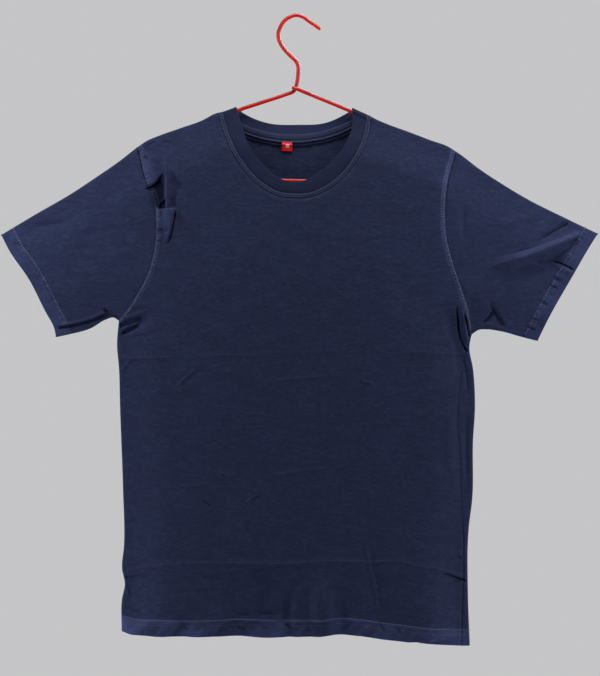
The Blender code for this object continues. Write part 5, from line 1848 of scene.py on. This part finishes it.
def labelFinish(name, form):
    material, shader = newMaterial(name, form["colour"], form["roughness"], form["surface"])
    place = addNode(material, "ShaderNodeTexCoord")
    axes = addNode(material, "ShaderNodeSeparateXYZ")
    joinNodes(material, place.outputs["Object"], axes.inputs["Vector"])
    edges = []
    for axis, (low, high) in (("X", form["patchX"]), ("Z", form["patchZ"])):
        middle = (low + high) / 2.0
        half = (high - low) / 2.0
        offset = span(material, axes.outputs[axis], middle - half, middle + half, -1.0, 1.0)
        offset.node.clamp = False
        size = addMath(material, "ABSOLUTE", offset)
        edges.append(span(material, size, 0.88, 1.0, 1.0, 0.0))
    satin = addBands(material, "Z", form["weave"])
    colour = tint(material, form["deep"], satin, form["colour"])
    colour = tint(material, colour, addMath(material, "MULTIPLY", *edges), form["patch"])
    threads = addBands(material, "X", form["weave"] * 0.7)
    relief = addRelief(material, (satin, 0.00008, 0.5), (threads, 0.00006, 0.4))
    joinLooks(material, shader, colour, relief)
    return material


redLabel = labelFinish("redLabel", labelForm)


def makeLabel():
    # a loop of satin: down in front, round the bottom and up behind
    form = labelForm
    x = np.linspace(form["x"][0], form["x"][1], 25)
    under = tapeLine(form["drop"])
    top = np.interp(x, under[:, 0], under[:, 1])
    rows = []
    path = [(share, 0.0046 - 0.0022 * share) for share in np.linspace(0.0, 0.94, 12)]
    path += [(0.975, 0.0023), (0.995, 0.0018), (1.0, 0.0012), (0.995, 0.0007), (0.975, 0.0005)]
    path += [(share, 0.0004) for share in np.linspace(0.9, 0.0, 8)]
    curl = 0.0003 * ((x - x.mean()) / (x[-1] - x.mean())) ** 2
    for share, off in path:
        flat = np.stack([x, top - form["height"] * share], axis=1)
        rows.append(insideBack(flat, off + curl * share))
    points = np.concatenate(rows)
    wall = np.full(len(points), form["wall"] * 0.5)
    shell, skin = giveWall(points, stripFaces(len(rows), 25)[:, ::-1], wall)
    return newPiece("neckLabel", shell, skin, redLabel)


neckLabel = makeLabel()
print("tape and label sewn in")


def coatedFinish(name, form):
    material, shader = newMaterial(name, form["red"], form["roughness"], form["surface"])
    colour = tint(material, form["red"], addPattern(material, form["flow"]), form["deepRed"])
    drips = addNoise(material, even, 260.0, 2.0)
    grain = addNoise(material, even, 1500.0, 2.0)
    relief = addRelief(material, (drips, 0.00008, 0.35), (grain, 0.00004, 0.25))
    joinLooks(material, shader, colour, relief, addPattern(material, form["scuffs"]))
    return material


def steelFinish(name, form):
    material, shader = newMaterial(name, form["steel"], 0.38, {"Metallic": 1.0})
    marks = addBands(material, "X", 0.0004, distortion=2.0)
    colour = tint(material, form["steel"], marks, form["darkSteel"])
    joinLooks(material, shader, colour, addRelief(material, (marks, 0.00008, 0.5)))
    return material


redCoatedWire = coatedFinish("redCoatedWire", hangerForm)
cutSteel = steelFinish("cutSteel", hangerForm)


def circleOf(first, second):   # unit vectors all round, turning from first to second
    angles = np.linspace(0.0, 2.0 * math.pi, hangerForm["sides"], endpoint=False)[:, None]
    return np.cos(angles) * first + np.sin(angles) * second


def ringFaces(rings):   # faces between rings of points, and one over each end
    sides = hangerForm["sides"]
    faces = []
    for low in range(0, (rings - 1) * sides, sides):
        for k in range(sides):
            following = (k + 1) % sides
            faces.append([low + k, low + following, low + sides + following, low + sides + k])
    faces.append(list(range(sides))[::-1])
    faces.append(list(range((rings - 1) * sides, rings * sides)))
    return faces


def wireMesh(name, path, material):
    # a round rod swept along a path, with softly domed ends
    run = unit(np.gradient(path, axis=0))
    facing = np.tile(np.array([0.0, -1.0, 0.0]), (len(path), 1))
    facing = unit(facing - run * (facing * run).sum(axis=1)[:, None])
    sideways = np.cross(run, facing)
    radius = hangerForm["wire"]
    dome = [(0.0, 0.3), (0.35, 0.8), (0.75, 0.97)]   # share of its height, share of its width
    height = radius * 0.35
    rings = [(path[0] - run[0] * height * (1.0 - back), 0, size) for back, size in dome]
    rings += [(path[k], k, 1.0) for k in range(len(path))]
    rings += [(path[-1] + run[-1] * height * (1.0 - back), -1, size)
              for back, size in dome[::-1]]
    points = [centre + circleOf(facing[k], sideways[k]) * radius * size
              for centre, k, size in rings]
    return newPiece(name, np.concatenate(points), ringFaces(len(rings)), material)


hangerHook = wireMesh("hangerHook", hookPath, redCoatedWire)
hangerFrame = wireMesh("hangerFrame", framePath, redCoatedWire)


def makeCutEnd():
    # the bare steel of the hook's cut tip
    tip = hookPath[0]
    away = hookPath[0] - hookPath[1]
    away /= np.linalg.norm(away)
    side = np.array([0.0, -1.0, 0.0])
    circle = circleOf(side, np.cross(away, side))
    turned = ((0.0017, 0.0003), (0.00165, 0.00104), (0.0015, 0.00112), (0.0007, 0.00116))
    points = [tip + away * lift + circle * size for size, lift in turned]
    return newPiece("hookCutEnd", np.concatenate(points), ringFaces(len(turned)), cutSteel)


hookCutEnd = makeCutEnd()
print("hanger bent")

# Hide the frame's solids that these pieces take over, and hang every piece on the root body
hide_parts("front_panel")
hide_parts("back_panel")
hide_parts("sleeve_right")
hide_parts("sleeve_left")
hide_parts("collar_band")
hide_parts("neck_tape")
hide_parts("neck_label")
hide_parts("hanger_hook")
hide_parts("hanger_frame")

pieceSlots = {
    "navy_jersey": [frontPanel, backPanel, sleeves["right"], sleeves["left"], hemStitches,
                    armholeStitches, armholeBars, cuffStitches["right"], cuffStitches["left"],
                    cuffBars["right"], cuffBars["left"]],
    "navy_rib": [collarBand, neckStitches],
    "navy_tape": [neckTape],
    "red_label": [neckLabel],
    "red_coated_wire": [hangerHook, hangerFrame, hookCutEnd],
}
for slotName, members in pieceSlots.items():
    for piece in members:
        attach(piece, "root")

# Stage, light and camera
stageForm = {
    "floorZ": -1.25,
    "floorSize": 2.4,
    "floor": (0.72, 0.71, 0.69),
    "cloud": ((9.0, 4.0), (0.3, 0.7)),
    "air": (0.56, 0.56, 0.57),          # round the horizon
    "dim": (0.06, 0.06, 0.07),          # overhead and underfoot
    "horizon": (0.25, 0.46),            # heights over which one turns into the other
    "front": 0.28,                      # the same air on the camera's side
}


def makeFloor():
    half = stageForm["floorSize"] / 2.0
    z = stageForm["floorZ"]
    points = np.array([(-half, -half, z), (half, -half, z), (half, half, z), (-half, half, z)])
    material, shader = newMaterial("paleFloor", stageForm["floor"], 0.85)
    cloud = addPattern(material, stageForm["cloud"])
    pale = tuple(level * 0.93 for level in stageForm["floor"])
    joinNodes(material, tint(material, stageForm["floor"], cloud, pale), shader.inputs["Base Color"])
    return newPiece("studioFloor", points, [[0, 1, 2, 3]], material, smooth=False)


floor = makeFloor()

sideAim = (0.0, 0.0, -0.55)
coolWhite = (0.93, 0.96, 1.0)
lamps = {
    # name: place, aim, width, height, watts, colour
    "keyLamp": ((0.08, -0.25, 0.4), (0.0, 0.0, -0.25), 0.5, 0.3, 11.3, (1.0, 0.985, 0.96)),
    "rightLamp": ((-0.5, -0.2, -0.2), sideAim, 0.3, 0.6, 3.9, coolWhite),
    "rightLowLamp": ((-0.5, -0.2, -0.85), sideAim, 0.3, 0.6, 3.5, coolWhite),
    "leftLamp": ((0.5, -0.2, -0.2), sideAim, 0.3, 0.6, 3.2, coolWhite),
    "leftLowLamp": ((0.5, -0.2, -0.82), sideAim, 0.3, 0.6, 2.8, coolWhite),
    "backLamp": ((0.4, 1.9, 0.8), (0.0, 0.0, -0.35), 1.4, 1.0, 62.0, (1.0, 0.99, 0.97)),
}


def makeLamp(name, place, aim, width, height, watts, colour):
    light = bpy.data.lights.new(name, "AREA")
    light.shape = "RECTANGLE"
    light.size = width
    light.size_y = height
    light.energy = watts
    light.color = colour
    lamp = bpy.data.objects.new(name, light)
    lamp.location = place
    facing = Vector(aim) - Vector(place)
    lamp.rotation_euler = facing.to_track_quat("-Z", "Y").to_euler()
    bpy.context.scene.collection.objects.link(lamp)


for name, values in lamps.items():
    makeLamp(name, *values)


def makeAir():
    # pale round the horizon, dim above and below, a little dimmer on the camera's side
    world = bpy.data.worlds.new("paleAir")
    world.use_nodes = True
    place = addNode(world, "ShaderNodeTexCoord")
    axes = addNode(world, "ShaderNodeSeparateXYZ")
    joinNodes(world, place.outputs["Generated"], axes.inputs["Vector"])
    share = span(world, addMath(world, "ABSOLUTE", axes.outputs["Z"]), *stageForm["horizon"])
    air = tint(world, stageForm["air"], share, stageForm["dim"])
    background = world.node_tree.nodes["Background"]
    joinNodes(world, air, background.inputs["Color"])
    front = span(world, axes.outputs["Y"], -0.9, 0.3, stageForm["front"], 1.0)
    joinNodes(world, front, background.inputs["Strength"])
    return world


bpy.context.scene.world = makeAir()
bpy.context.scene.view_settings.view_transform = "Standard"

cameraForm = {"place": (0.0054, -2.0, -0.4374), "lens": 78.3, "sensor": 36.0,
              "clip": (0.05, 50.0)}
lens = bpy.data.cameras.new("frontCamera")
lens.lens = cameraForm["lens"]
lens.sensor_width = cameraForm["sensor"]
lens.clip_start, lens.clip_end = cameraForm["clip"]
camera = bpy.data.objects.new("frontCamera", lens)
camera.location = cameraForm["place"]
camera.rotation_euler = (math.pi / 2.0, 0.0, 0.0)
bpy.context.scene.collection.objects.link(camera)
bpy.context.scene.camera = camera
print("lights and camera set")
